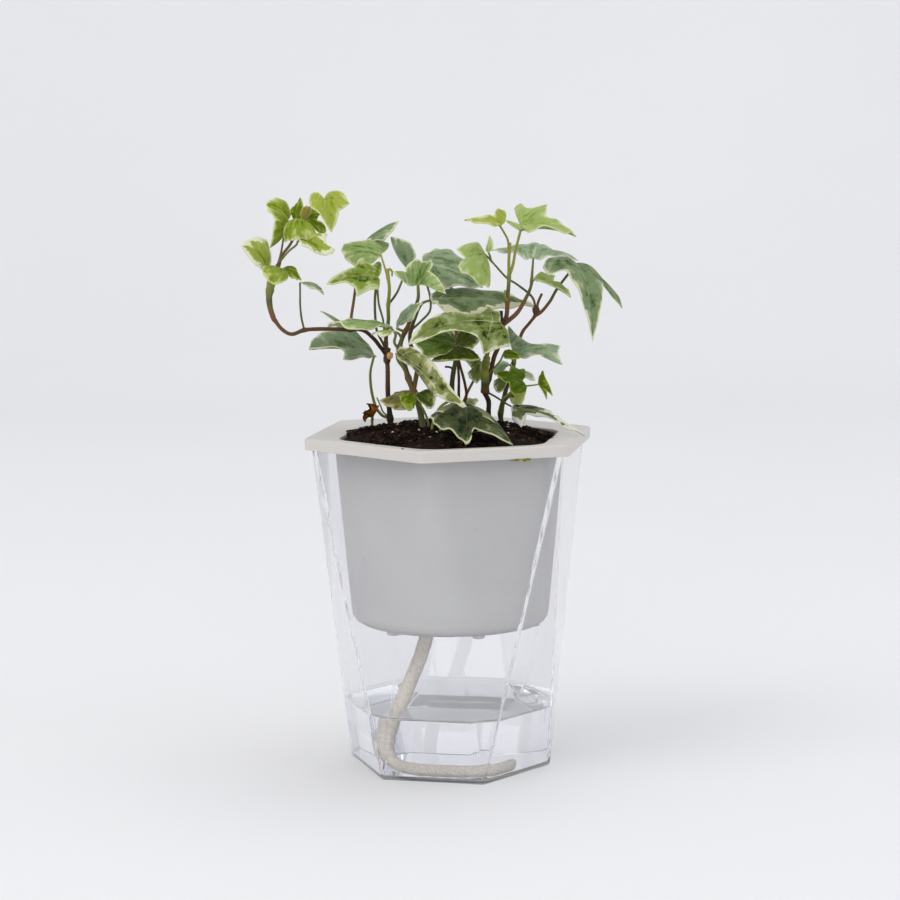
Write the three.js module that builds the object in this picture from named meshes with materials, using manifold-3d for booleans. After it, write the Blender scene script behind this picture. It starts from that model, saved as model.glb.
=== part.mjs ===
// A small variegated ivy in a two-piece self-watering planter.
// A clear six-sided vessel holds water, a white pot hangs in it by its wide flange, and a cotton
// wick runs from the pot's soil through its floor and down into the water.
//
// Millimetres, +Z up, -Y towards the viewer. The origin is the middle of the vessel's underside.
import * as THREE from "three";
import { mergeVertices } from "three/addons/utils/BufferGeometryUtils.js";
import Module from "manifold-3d";

const wasm = await Module();
wasm.setup();

// ---------------------------------------------------------------- driving dimensions
const TURN = -10.8; // degrees: the flange corner nearest the viewer stands this far off straight ahead
const GAP = 0.3; // clearance between pieces that touch on the real object
const VESSEL_TOP_R = 57.1; // corner radius of the rim
const VESSEL_BASE_R = 40.6; // corner radius of the foot, which is turned half a side from the rim
const VESSEL_HEIGHT = 130.6;
const VESSEL_WALL = 1.5;
const VESSEL_FLOOR = 1.5;
const WATER_LEVEL = 24.5;
const FLANGE_APOTHEM = 52; // 104 across the flats
const FLANGE_TOP = 133;
const LIP_BOTTOM = 128.4;
const LIP_WALL = 1.6;
const FLANGE_CORNER = 2.5; // rounding of the flange's corners
const FLANGE_BEVEL = 0.8; // of its upper edge
const MOUTH_APOTHEM = 40.5; // the planting opening
const MOUTH_CORNER = 12;
const MOUTH_TOP = 132; // the flange slopes down to it by a millimetre
const POT_WALL = 1.7;
const POT_BOTTOM = 57.7; // underside of the pot's floor, above its feet
const POT_FLOOR = 2;
const FEET = 6; // small pegs under the pot's floor
const FOOT_HEIGHT = 1.2;
const FOOT_R = 2.4;
const FOOT_RING_R = 33;
const SOIL_TOP = 133.4;
const WICK_R = 2.5;
const WICK_SIDES = 8;
const WICK_SPAN = 4 * WICK_R; // length of one straight stretch of the bent wick
const WICK_HOLE_R = 3.1;
const BURIED_WICK_TOP = 100; // the wick's upper end, inside the soil
const BLADE = 0.8; // thickness of a leaf
const BOW = 0.1; // rise of a blade between rib and lobe, as a share of the lobe's reach
const ROOT_DEPTH = 20; // a stem's length below the soil
const ROOT_HOLE = 0.5; // how much wider than its stem a hole in the soil is
const ROOTED_BELOW = SOIL_TOP + 1.5; // wood that starts lower than this goes on down into the soil
const STALK_R = 0.75; // wood thinner than this is a leafstalk, with fewer sides
const KNOT_R = 1; // the thickening where a leafstalk meets its blade
const STEM = { sides: 6, span: 6 };
const STALK = { sides: 4, span: 8 };

const CORNERS = 6;
const SIDE_ANGLE = 360 / CORNERS;
const HALF_SIDE = SIDE_ANGLE / 2;
const rad = THREE.MathUtils.degToRad;
const V = (x, y, z) => new THREE.Vector3(x, y, z);
const WICK_HOLE = V(-9, -3, POT_BOTTOM); // off the middle of the pot's floor

// ---------------------------------------------------------------- solids and meshes

// A closed geometry as a solid that can be joined and cut.
function solid(geometry) {
  const bare = new THREE.BufferGeometry();
  bare.setAttribute("position", geometry.getAttribute("position"));
  if (geometry.index) bare.setIndex(geometry.index);
  const merged = mergeVertices(bare, 1e-4);
  return new wasm.Manifold(
    new wasm.Mesh({
      numProp: 3,
      vertProperties: merged.getAttribute("position").array,
      triVerts: new Uint32Array(merged.index.array),
    }),
  );
}

// A solid back as a geometry with flat shading.
function geometryOf(body) {
  const mesh = body.getMesh();
  const geometry = new THREE.BufferGeometry();
  const points = new THREE.BufferAttribute(new Float32Array(mesh.vertProperties), 3);
  geometry.setAttribute("position", points);
  geometry.setIndex(new THREE.BufferAttribute(new Uint32Array(mesh.triVerts), 1));
  geometry.computeVertexNormals();
  return geometry;
}

// Triangles over shared points as a geometry that faces out.
function closedGeometry(points, triangles) {
  let volume = 0;
  const cross = V(0, 0, 0);
  for (const [a, b, c] of triangles) {
    volume += points[a].dot(cross.crossVectors(points[b], points[c])) / 6;
  }
  const faces = volume < 0 ? triangles.map(([a, b, c]) => [a, c, b]) : triangles;
  const geometry = new THREE.BufferGeometry().setFromPoints(points);
  geometry.setIndex(faces.flat());
  return geometry;
}

// A body skinned over rings of equally many points, closed by a flat fan at each end.
function loft(rings) {
  const count = rings[0].length;
  const points = rings.flat();
  const triangles = [];
  for (let r = 0; r < rings.length - 1; r++) {
    for (let i = 0; i < count; i++) {
      const a = r * count + i;
      const b = r * count + ((i + 1) % count);
      triangles.push([a, b, b + count], [a, b + count, a + count]);
    }
  }
  const last = (rings.length - 1) * count;
  for (let i = 1; i < count - 1; i++) {
    triangles.push([0, i + 1, i], [last, last + i, last + i + 1]);
  }
  return solid(closedGeometry(points, triangles));
}

// A point at a bearing from straight ahead (-Y), in degrees, counted towards +X.
function bearing(radius, degrees, z) {
  return V(radius * Math.sin(rad(degrees)), -radius * Math.cos(rad(degrees)), z);
}

// A hexagon with rounded corners, which turns into a circle as its corner radius nears its apothem.
function roundedHexagon(apothem, corner, z, arcPoints = 4) {
  const centre = (apothem - corner) / Math.cos(rad(HALF_SIDE));
  const ring = [];
  for (let side = 0; side < CORNERS; side++) {
    const middle = TURN + side * SIDE_ANGLE;
    for (let step = 0; step < arcPoints; step++) {
      const angle = middle - HALF_SIDE + (step / (arcPoints - 1)) * SIDE_ANGLE;
      ring.push(bearing(centre, middle, z).add(bearing(corner, angle, 0)));
    }
  }
  return ring;
}

// The vessel's form: a hexagon above and one below, half a side apart, joined by twelve triangles.
function facetedBody(topR, topZ, baseR, baseZ) {
  const points = [];
  for (let i = 0; i < CORNERS; i++) points.push(bearing(topR, TURN + i * SIDE_ANGLE, topZ));
  for (let i = 0; i < CORNERS; i++) points.push(bearing(baseR, TURN - HALF_SIDE + i * SIDE_ANGLE, baseZ));
  const triangles = [];
  for (let i = 0; i < CORNERS; i++) {
    const next = (i + 1) % CORNERS;
    triangles.push([i, CORNERS + i, CORNERS + next]);
    triangles.push([i, CORNERS + next, next]);
    if (i > 0 && next > 0) {
      triangles.push([0, i, next], [CORNERS, CORNERS + next, CORNERS + i]);
    }
  }
  return solid(closedGeometry(points, triangles));
}

// A round bar along a smooth curve through the points.
function bar(points, radius, sides, span) {
  const curve = new THREE.CatmullRomCurve3(points, false, "centripetal");
  const section = new THREE.Shape();
  for (let i = 0; i < sides; i++) {
    const angle = (i / sides) * 2 * Math.PI;
    const at = [radius * Math.cos(angle), radius * Math.sin(angle)];
    if (i === 0) section.moveTo(...at);
    else section.lineTo(...at);
  }
  section.closePath();
  const steps = Math.max(2, Math.round(curve.getLength() / span));
  return solid(new THREE.ExtrudeGeometry(section, { steps, extrudePath: curve, bevelEnabled: false }));
}

// An upright round hole or peg.
function peg(x, y, radius, from, to, sides = 10) {
  const ring = (z) => {
    const points = [];
    for (let i = 0; i < sides; i++) points.push(bearing(radius, (i * 360) / sides, z).add(V(x, y, 0)));
    return points;
  };
  return loft([ring(from), ring(to)]);
}

function union(bodies) {
  return bodies.reduce((whole, body) => whole.add(body));
}

// ---------------------------------------------------------------- the planter

// The offset of a corner when the walls on both sides of it move in by one wall's thickness.
const CORNER_STEP = VESSEL_WALL / Math.cos(rad(HALF_SIDE));

// The vessel's hollow, shrunk by a clearance, from a height up to the rim's own slope.
function hollow(clearance, fromZ) {
  const step = CORNER_STEP + clearance / Math.cos(rad(HALF_SIDE));
  return facetedBody(VESSEL_TOP_R - step, VESSEL_HEIGHT, VESSEL_BASE_R - step, fromZ);
}

function makeVessel() {
  const outside = facetedBody(VESSEL_TOP_R, VESSEL_HEIGHT, VESSEL_BASE_R, 0);
  // the hollow runs a little past the rim so that the cut leaves it open
  const collar = hollow(0, VESSEL_FLOOR);
  const mouthR = VESSEL_TOP_R - CORNER_STEP;
  const past = loft([
    hexagonRing(mouthR, VESSEL_HEIGHT - 0.5),
    hexagonRing(mouthR, VESSEL_HEIGHT + 1),
  ]);
  return outside.subtract(collar.add(past));
}

function hexagonRing(radius, z) {
  const ring = [];
  for (let i = 0; i < CORNERS; i++) ring.push(bearing(radius, TURN + i * SIDE_ANGLE, z));
  return ring;
}

const LEAST_CORNER = 10; // rounding that the pot's inside keeps all the way up

// [apothem, corner radius, height] of the pot's outside below its flange, from the floor up.
const POT_PROFILE = [
  [34.5, 34.5, POT_BOTTOM],
  [37.2, 37.2, POT_BOTTOM + 1.6],
  [38.6, 38.6, POT_BOTTOM + 5],
  [40.4, 30, 92],
  [41.8, 17, 122],
  [MOUTH_APOTHEM + POT_WALL, 13, LIP_BOTTOM + 2.8],
];

function makePot() {
  const round = (ring) => roundedHexagon(...ring);
  const body = loft(POT_PROFILE.map(round));
  const flange = loft([
    roundedHexagon(FLANGE_APOTHEM, FLANGE_CORNER, LIP_BOTTOM),
    roundedHexagon(FLANGE_APOTHEM, FLANGE_CORNER, FLANGE_TOP - FLANGE_BEVEL),
    roundedHexagon(FLANGE_APOTHEM - FLANGE_BEVEL, FLANGE_CORNER - FLANGE_BEVEL, FLANGE_TOP),
    roundedHexagon(MOUTH_APOTHEM, MOUTH_CORNER, MOUTH_TOP),
  ]);
  const slot = [FLANGE_APOTHEM - LIP_WALL, FLANGE_CORNER - LIP_WALL];
  const rimSlot = loft([
    roundedHexagon(...slot, LIP_BOTTOM - 1),
    roundedHexagon(...slot, VESSEL_HEIGHT + GAP),
  ]);
  const mouth = roundedHexagon(MOUTH_APOTHEM, MOUTH_CORNER, FLANGE_TOP + 1);
  const inside = loft([...potInside(0), mouth]);
  let pot = flange.subtract(rimSlot).add(body).subtract(inside);
  for (let i = 0; i < FEET; i++) {
    const at = bearing(FOOT_RING_R, TURN + HALF_SIDE + i * SIDE_ANGLE, 0);
    pot = pot.add(peg(at.x, at.y, FOOT_R, POT_BOTTOM - FOOT_HEIGHT, POT_BOTTOM + POT_FLOOR / 2, 8));
  }
  const wickHole = [WICK_HOLE.x, WICK_HOLE.y, WICK_HOLE_R];
  return pot.subtract(peg(...wickHole, POT_BOTTOM - POT_FLOOR, POT_BOTTOM + 2 * POT_FLOOR));
}

// The rings of the pot's inside, kept a clearance off its wall and floor.
function potInside(clearance) {
  return POT_PROFILE.map(([apothem, corner, z], i) => {
    const inset = POT_WALL + clearance;
    const height = i < 3 ? z + POT_FLOOR + clearance : z;
    return roundedHexagon(apothem - inset, Math.max(corner - inset, LEAST_CORNER), height);
  });
}

// [apothem, corner radius, height] of the soil's surface, from the pot's wall up to the middle.
const SOIL_MOUND = [
  [MOUTH_APOTHEM - GAP, MOUTH_CORNER - GAP, MOUTH_TOP - 1],
  [MOUTH_APOTHEM - 6, 14, SOIL_TOP - 0.9],
  [MOUTH_APOTHEM - 18, 16, SOIL_TOP - 0.2],
  [8, 7, SOIL_TOP],
];

function makeSoil() {
  const insideWall = potInside(GAP).slice(0, -1);
  const mound = SOIL_MOUND.map((ring) => roundedHexagon(...ring));
  let soil = loft([...insideWall, ...mound]);
  for (const stem of Object.values(LEAFY_STEMS)) {
    for (const [radius, path] of stem.wood) {
      const [x, y, z] = path[0];
      if (z > ROOTED_BELOW) continue;
      const hole = peg(x, y, radius + ROOT_HOLE, SOIL_TOP - ROOT_DEPTH - 1, ROOTED_BELOW, 8);
      soil = soil.subtract(hole);
    }
  }
  const wickPit = peg(WICK_HOLE.x, WICK_HOLE.y, WICK_HOLE_R, POT_BOTTOM, BURIED_WICK_TOP + GAP);
  return soil.subtract(wickPit);
}

// ---------------------------------------------------------------- the wick and the water

// The free wick, from the pot's floor down into the water and round the floor of the vessel.
const WICK_ROUTE = [
  [-9, -3, 57.4],
  [-9.5, -3.5, 51],
  [-12, -6, 43],
  [-15.5, -9, 35],
  [-19, -12.5, 27],
  [-22, -16, 19.5],
  [-23.4, -19, 12.6],
  [-22.4, -22.4, 7.6],
  [-18.8, -25.6, 5.2],
  [-12.5, -28.3, 4.3],
  [-5, -30.1, 4.2],
  [2.5, -31.0, 4.2],
  [9.5, -30.4, 4.2],
  [15.5, -27.6, 4.2],
  [20, -23.6, 4.2],
  [23, -18.6, 4.2],
].map((at) => V(...at));

function makeWater() {
  const block = hollow(GAP, VESSEL_FLOOR + GAP);
  const wide = 1.5 * VESSEL_TOP_R;
  const above = loft([hexagonRing(wide, WATER_LEVEL), hexagonRing(wide, VESSEL_HEIGHT + 1)]);
  const channel = bar(WICK_ROUTE, WICK_R + GAP, WICK_SIDES, WICK_SPAN);
  return block.subtract(above).subtract(channel);
}

// ---------------------------------------------------------------- the ivy

// Half of a leaf's outline for each way that leaves are cut: points [along the rib, out from it], where
// 1 along is the tip and the point at 1 out is the side lobe's own tip. Past that come notch and midlobe.
const CUTS = {
  three: [[-0.06, 0.26], [0, 0.68], [0.28, 1], [0.38, 0.56], [0.54, 0.4], [0.76, 0.26], [0.91, 0.11]],
  five: [[-0.16, 0.3], [-0.12, 0.72], [0.06, 0.6], [0.3, 1], [0.4, 0.5], [0.6, 0.38], [0.84, 0.18]],
  narrow: [[0.02, 0.3], [0.14, 0.74], [0.34, 1], [0.52, 0.9], [0.7, 0.64], [0.84, 0.38], [0.94, 0.15]],
  round: [[-0.1, 0.3], [0.02, 0.76], [0.3, 1], [0.56, 0.94], [0.76, 0.72], [0.9, 0.46], [0.98, 0.2]],
  late: [[0.02, 0.24], [0.2, 0.4], [0.5, 0.6], [0.8, 1], [0.86, 0.5], [0.92, 0.3], [0.97, 0.12]],
  deep: [[-0.02, 0.3], [0.04, 0.62], [0.2, 1], [0.25, 0.6], [0.36, 0.4], [0.62, 0.3], [0.87, 0.13]],
  early: [[-0.04, 0.4], [0.04, 0.8], [0.1, 1], [0.3, 0.46], [0.5, 0.34], [0.74, 0.26], [0.92, 0.12]],
};
const CUT_PAIRS = {
  three: ["three", "three"],
  five: ["five", "five"],
  narrow: ["narrow", "narrow"],
  round: ["round", "round"],
  deep: ["deep", "deep"],
  cleft: ["three", "deep"],
  spear: ["early", "early"],
  fork: ["early", "late"],
  domed: ["three", "round"],
};

// The outlines of the leaves that show most, which have one of their own: left half, right half.
const OWN_CUTS = {
  l1: [
    [[-0.12, 0.18], [-0.09, 0.5], [0.1, 0.84], [0.41, 1], [0.56, 0.72], [0.59, 0.52], [0.81, 0.34]],
    [[-0.17, 0.25], [-0.28, 0.57], [-0.2, 0.89], [0, 1], [0.22, 0.89], [0.44, 0.45], [0.76, 0.22]],
  ],
  l2: [
    [[-0.25, 0.57], [-0.2, 0.81], [-0.07, 1], [0.24, 0.55], [0.34, 0.39], [0.51, 0.32], [0.76, 0.26]],
    [[0.03, 0.46], [0.27, 0.82], [0.54, 1.1], [0.82, 1], [0.86, 0.77], [0.91, 0.51], [0.98, 0.25]],
  ],
  l3: [
    [[0.08, 0.23], [0.18, 0.49], [0.32, 0.78], [0.43, 1], [0.51, 0.66], [0.62, 0.29], [0.82, -0.01]],
    [[0, 0.42], [0, 0.65], [0.03, 0.85], [0.26, 1], [0.53, 0.84], [0.75, 0.54], [0.89, 0.25]],
  ],
  l4: [
    [[0.24, 0.35], [0.39, 0.68], [0.55, 0.89], [0.7, 1], [0.91, 0.83], [0.96, 0.57], [0.96, 0.27]],
    [[0.02, 0.23], [0.05, 0.52], [0.1, 0.97], [0.43, 1.07], [0.73, 1], [0.95, 0.82], [0.97, 0.45]],
  ],
  l5: [
    [[-0.04, 0.5], [0.08, 1.21], [0.48, 1], [0.42, 0.63], [0.4, 0.26], [0.66, 0.32], [0.87, 0.23]],
    [[0.1, 0.46], [0.32, 0.78], [0.55, 1], [0.84, 0.95], [0.9, 0.74], [0.94, 0.47], [0.97, 0.22]],
  ],
  l6: [
    [[0.23, 0.36], [0.35, 0.69], [0.48, 1], [0.75, 0.48], [0.89, 0.4], [1.07, 0.53], [1.1, 0.36]],
    [[0.11, 0.26], [0.26, 0.58], [0.4, 0.89], [0.55, 1.14], [0.79, 1], [0.96, 0.77], [0.99, 0.37]],
  ],
  l7: [
    [[0.12, 0.39], [0.19, 0.61], [0.28, 0.81], [0.54, 1], [0.77, 0.81], [0.93, 0.57], [0.97, 0.28]],
    [[-0.09, 0.37], [0.07, 0.62], [0.25, 0.79], [0.43, 1], [0.63, 0.8], [0.78, 0.6], [0.99, 0.15]],
  ],
  l8: [
    [[0.19, 0.39], [0.3, 0.61], [0.43, 0.81], [0.76, 1], [1.03, 0.93], [1.14, 0.68], [1.12, 0.38]],
    [[0.03, 0.35], [0.08, 0.74], [0.3, 1], [0.43, 1.35], [0.57, 1.07], [0.72, 0.7], [0.88, 0.31]],
  ],
  l8b: [
    [[0.01, 0.41], [0.05, 0.73], [0.08, 1], [0.34, 0.65], [0.48, 0.45], [0.64, 0.26], [0.83, 0.12]],
    [[0.11, 0.26], [0.24, 0.56], [0.37, 0.88], [0.51, 1.11], [0.79, 1], [0.95, 0.62], [0.98, 0.29]],
  ],
  l3b: [
    [[0.21, -0.02], [0.47, 0.12], [0.65, 0.57], [0.8, 1], [0.86, 0.78], [0.93, 0.49], [0.97, 0.23]],
    [[0.05, 0.43], [0.08, 0.67], [0.13, 0.87], [0.32, 1], [0.59, 0.85], [0.71, 0.62], [0.81, 0.37]],
  ],
  l9: [
    [[0.07, 0.1], [0.26, 0.3], [0.4, 0.66], [0.52, 1], [0.58, 0.59], [0.66, 0.17], [0.84, 0.16]],
    [[0.06, 0.31], [0.14, 0.66], [0.35, 1], [0.55, 0.87], [0.68, 0.7], [0.8, 0.52], [0.92, 0.24]],
  ],
  l10: [
    [[0.03, 0.22], [0.09, 0.48], [0.29, 0.83], [0.57, 1], [0.76, 0.88], [0.9, 0.62], [0.96, 0.29]],
    [[-0.22, 0.44], [-0.23, 0.97], [0.01, 1], [0.16, 0.71], [0.35, 0.41], [0.72, 0.29], [0.94, 0.21]],
  ],
  l11: [
    [[0.1, 0.49], [0.24, 0.88], [0.39, 0.9], [0.69, 1], [0.67, 0.75], [0.71, 0.42], [0.86, 0.28]],
    [[-0.14, 0.33], [-0.36, 1.31], [0.01, 0.61], [0.09, 1], [0.27, 0.77], [0.4, 0.37], [0.69, 0.26]],
  ],
  l12: [
    [[0.07, 0.32], [0.18, 0.7], [0.32, 0.93], [0.48, 1.1], [0.71, 1], [0.88, 0.8], [0.95, 0.39]],
    [[-0.02, 0.2], [-0.02, 0.45], [0.1, 0.88], [0.22, 1], [0.46, 1.05], [0.68, 0.69], [0.85, 0.32]],
  ],
  l13: [
    [[-0.23, 0.23], [-0.26, 0.78], [-0.15, 1], [-0.09, 0.53], [0.3, 0.57], [0.5, 0.44], [0.61, 0.2]],
    [[-0.07, 0.27], [-0.16, 0.59], [-0.15, 1], [0.04, 0.75], [0.24, 0.48], [0.4, 0.12], [0.63, 0.18]],
  ],
  l14: [
    [[-0.07, 0.2], [-0.03, 0.46], [0.1, 1], [0.32, 0.71], [0.48, 0.55], [0.66, 0.26], [0.86, 0.06]],
    [[0.06, 0.2], [0.15, 0.44], [0.34, 0.78], [0.5, 1], [0.64, 0.72], [0.81, 0.5], [0.94, 0.25]],
  ],
  l15: [
    [[-0.02, 0.29], [-0.03, 0.62], [0.03, 1], [0.24, 0.84], [0.49, 0.65], [0.84, 0.46], [0.94, 0.22]],
    [[-0.34, 0.01], [-0.06, 0.66], [0.13, 1], [0.42, 0.73], [0.65, 1.04], [0.81, 0.94], [1.04, 0.27]],
  ],
  l16: [
    [[0.04, 0.39], [0.09, 0.87], [0.14, 1.33], [0.21, 1.65], [0.46, 1], [0.6, 0.61], [0.77, 0.19]],
    [[0.07, 0.4], [0.11, 0.63], [0.18, 0.83], [0.44, 1], [0.58, 0.85], [0.73, 0.66], [0.88, 0.31]],
  ],
  l20: [
    [[0.19, 0.54], [0.3, 0.85], [0.39, 1.08], [0.5, 1.03], [0.76, 1], [0.96, 0.81], [0.99, 0.39]],
    [[-0.16, 0.19], [-0.31, 0.69], [-0.3, 1.08], [-0.15, 1], [0.06, 0.53], [0.13, 0.32], [0.78, 0.05]],
  ],
  l21: [
    [[-0.32, 0.36], [-0.01, 0.15], [-0.22, 0.74], [-0.15, 1], [0.04, 0.63], [0.37, 0.66], [0.41, 0.3]],
    [[0.14, 0.65], [0.29, 1.27], [0.39, 1], [0.52, 0.72], [0.71, 0.8], [0.9, 0.86], [0.96, 0.43]],
  ],
  l22: [
    [[-0.11, 0.14], [0.01, 0.46], [0.04, 0.79], [0.22, 1], [0.17, 0.61], [0.32, 0.46], [0.51, 0.18]],
    [[-0.05, 0.18], [0.02, 0.31], [0.16, 0.65], [0.28, 1], [0.29, 0.73], [0.28, 0.5], [0.63, 0.11]],
  ],
  l23: [
    [[-0.1, 0.38], [-0.04, 0.62], [0.18, 0.79], [0.23, 1], [0.43, 1], [0.27, 0.52], [0.73, 0.22]],
    [[-0.09, 0.17], [-0.13, 0.46], [-0.09, 0.71], [0.09, 1], [0.23, 0.95], [0.25, 0.48], [0.38, 0.38]],
  ],
  l24: [
    [[-0.09, 0.35], [-0.22, 0.94], [-0.07, 1], [0.04, 1], [0.35, 0.31], [0.58, 0.29], [0.78, 0.23]],
    [[0.06, 0.35], [0.14, 0.78], [0.29, 1.48], [0.37, 0.87], [0.54, 1], [0.69, 0.4], [0.89, 0.33]],
  ],
  l37: [
    [[0, 0.24], [0.09, 0.68], [0.21, 1], [0.37, 0.92], [0.55, 0.56], [0.72, 0.22], [0.87, 0.08]],
    [[0.09, 0.36], [0.22, 0.47], [0.45, 0.24], [0.57, 0.36], [0.64, 0.58], [0.68, 1], [0.91, 0.44]],
  ],
  l38: [
    [[0.12, 0.14], [0.53, 0.34], [0.85, 1], [0.89, 0.74], [0.75, 0.21], [0.81, 0.11], [0.93, 0.1]],
    [[0.12, 0.3], [0.3, 0.52], [0.53, 0.67], [0.43, 0.87], [0.48, 1], [0.73, 0.9], [0.87, 0.33]],
  ],
  l34: [
    [[0.02, 0.52], [0.07, 0.88], [0.34, 1], [0.35, 0.58], [0.39, 0.42], [0.49, 0.33], [0.81, 0.21]],
    [[-0.03, 0.67], [0.03, 1], [0.14, 0.45], [0.27, 0.37], [0.56, 0.6], [0.7, 0.57], [0.86, 0.34]],
  ],
  l40: [
    [[-0.08, 0.31], [-0.13, 0.68], [-0.12, 1], [0.1, 0.48], [0.3, 0.13], [0.48, 0.06], [0.71, 0.07]],
    [[0.06, 0.52], [0.17, 0.65], [0.37, 0.58], [0.57, 0.65], [0.69, 0.85], [0.85, 1], [0.87, 0.51]],
  ],
  l41: [
    [[-0.13, 0.39], [0, 0.75], [0.2, 0.9], [0.39, 1], [0.54, 0.83], [0.57, 0.51], [0.84, 0.42]],
    [[-0.14, 0.18], [-0.29, 0.63], [-0.37, 1.1], [0, 0.7], [0.18, 1], [0.42, 0.26], [0.75, 0.12]],
  ],
  l42: [
    [[-0.11, 0.29], [-0.14, 0.66], [-0.15, 1], [0.03, 0.76], [0.25, 0.49], [0.58, 0.31], [0.81, 0.14]],
    [[0.16, 0.27], [0.38, 0.6], [0.85, 1], [0.78, 0.72], [0.69, 0.4], [0.6, 0.06], [0.53, -0.2]],
  ],
  l43: [
    [[0.06, 0.23], [0.12, 0.49], [0.18, 0.76], [0.28, 0.98], [0.65, 1], [1, 0.68], [1.02, 0.32]],
    [[0.16, 0.19], [0.34, 0.42], [0.45, 0.74], [0.52, 1], [0.72, 0.82], [0.92, 0.57], [0.97, 0.27]],
  ],
  l44: [
    [[0.06, 0.34], [0.19, 0.65], [0.29, 1], [0.44, 0.61], [0.52, 0.4], [0.61, 0.22], [0.8, 0.15]],
    [[0.07, 0.44], [0.17, 0.8], [0.3, 1], [0.27, 0.38], [0.41, 0.17], [0.56, 0.11], [0.76, 0.18]],
  ],
  l47: [
    [[0.03, 0.41], [0.05, 0.64], [0.09, 0.85], [0.3, 1.09], [0.63, 1], [0.86, 0.64], [0.94, 0.3]],
    [[0.09, 0.4], [0.25, 0.72], [0.4, 1], [0.53, 0.55], [0.6, 0.3], [0.68, 0.09], [0.84, 0]],
  ],
  l39a: [
    [[0.08, 0.21], [0.18, 0.46], [0.29, 0.72], [0.42, 0.93], [0.83, 1], [0.98, 0.59], [1, 0.27]],
    [[0.06, 0.24], [0.15, 0.54], [0.3, 0.79], [0.43, 1], [0.62, 0.79], [0.84, 0.52], [0.93, 0.24]],
  ],
  l39b: [
    [[0.17, 0.36], [0.21, 0.7], [0.23, 1], [0.46, 0.83], [0.72, 0.62], [0.84, 0.44], [0.94, 0.25]],
    [[0.08, 0.26], [0.2, 0.58], [0.31, 0.89], [0.45, 1.14], [0.81, 1], [0.95, 0.79], [0.98, 0.38]],
  ],
  l35: [
    [[0, 0.27], [0.07, 0.45], [0.39, 0.87], [0.58, 1], [0.74, 1], [0.84, 0.91], [0.98, 0.3]],
    [[0.01, 0.29], [0.05, 0.62], [0.23, 1], [0.42, 0.68], [0.54, 0.49], [0.66, 0.32], [0.84, 0.14]],
  ],
  l35b: [
    [[0, 0.22], [0.01, 0.48], [0.11, 0.77], [0.2, 1], [0.42, 0.78], [0.68, 0.5], [0.86, 0.23]],
    [[0.17, 0.31], [0.27, 0.49], [0.37, 0.66], [0.61, 0.92], [0.85, 1], [0.99, 0.63], [1, 0.29]],
  ],
  l36: [
    [[0.07, 0.25], [0.18, 0.55], [0.31, 0.79], [0.43, 1], [0.61, 0.67], [0.72, 0.48], [0.82, 0.3]],
    [[0.35, 0.52], [0.25, 0.8], [0.1, 1], [0.35, 0.98], [0.58, 0.78], [0.77, 0.63], [0.96, 0.3]],
  ],
  l45a: [
    [[0.05, 0.33], [0.13, 0.7], [0.26, 0.87], [0.38, 1], [0.56, 0.83], [0.76, 0.61], [0.9, 0.28]],
    [[0.02, 0.72], [0.06, 1.43], [0.35, 1.08], [0.53, 0.7], [0.73, 1], [0.88, 0.78], [0.98, 0.39]],
  ],
  l46: [
    [[-0.03, 0.22], [-0.05, 0.48], [0, 0.77], [0.06, 1], [0.31, 0.73], [0.61, 0.41], [0.82, 0.18]],
    [[0.11, 0.47], [0.17, 0.73], [0.27, 0.94], [0.64, 1], [0.78, 0.83], [0.93, 0.61], [0.98, 0.28]],
  ],
  l48: [
    [[0.09, 0.23], [0.19, 0.5], [0.3, 0.78], [0.43, 1], [0.85, 1], [1.02, 0.63], [1.02, 0.29]],
    [[-0.09, 0.5], [-0.03, 0.78], [0.05, 1], [0.2, 0.8], [0.37, 0.58], [0.55, 0.34], [0.72, 0.14]],
  ],
  l45b: [
    [[0, 0.24], [0.01, 0.52], [0.02, 0.81], [0.07, 1.04], [0.4, 1], [0.77, 0.66], [0.91, 0.31]],
    [[0.09, 0.3], [0.22, 0.64], [0.35, 0.84], [0.47, 1], [0.79, 0.8], [0.92, 0.61], [1, 0.4]],
  ],
  l49: [
    [[0.11, 0.24], [0.26, 0.53], [0.4, 0.78], [0.52, 1], [0.64, 0.75], [0.79, 0.44], [0.9, 0.2]],
    [[0.06, 0.22], [0.13, 0.48], [0.2, 0.75], [0.29, 0.96], [0.59, 1], [0.84, 0.76], [0.94, 0.36]],
  ],
};

function halvesOf(cut) {
  return OWN_CUTS[cut] || CUT_PAIRS[cut].map((name) => CUTS[name]);
}

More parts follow.
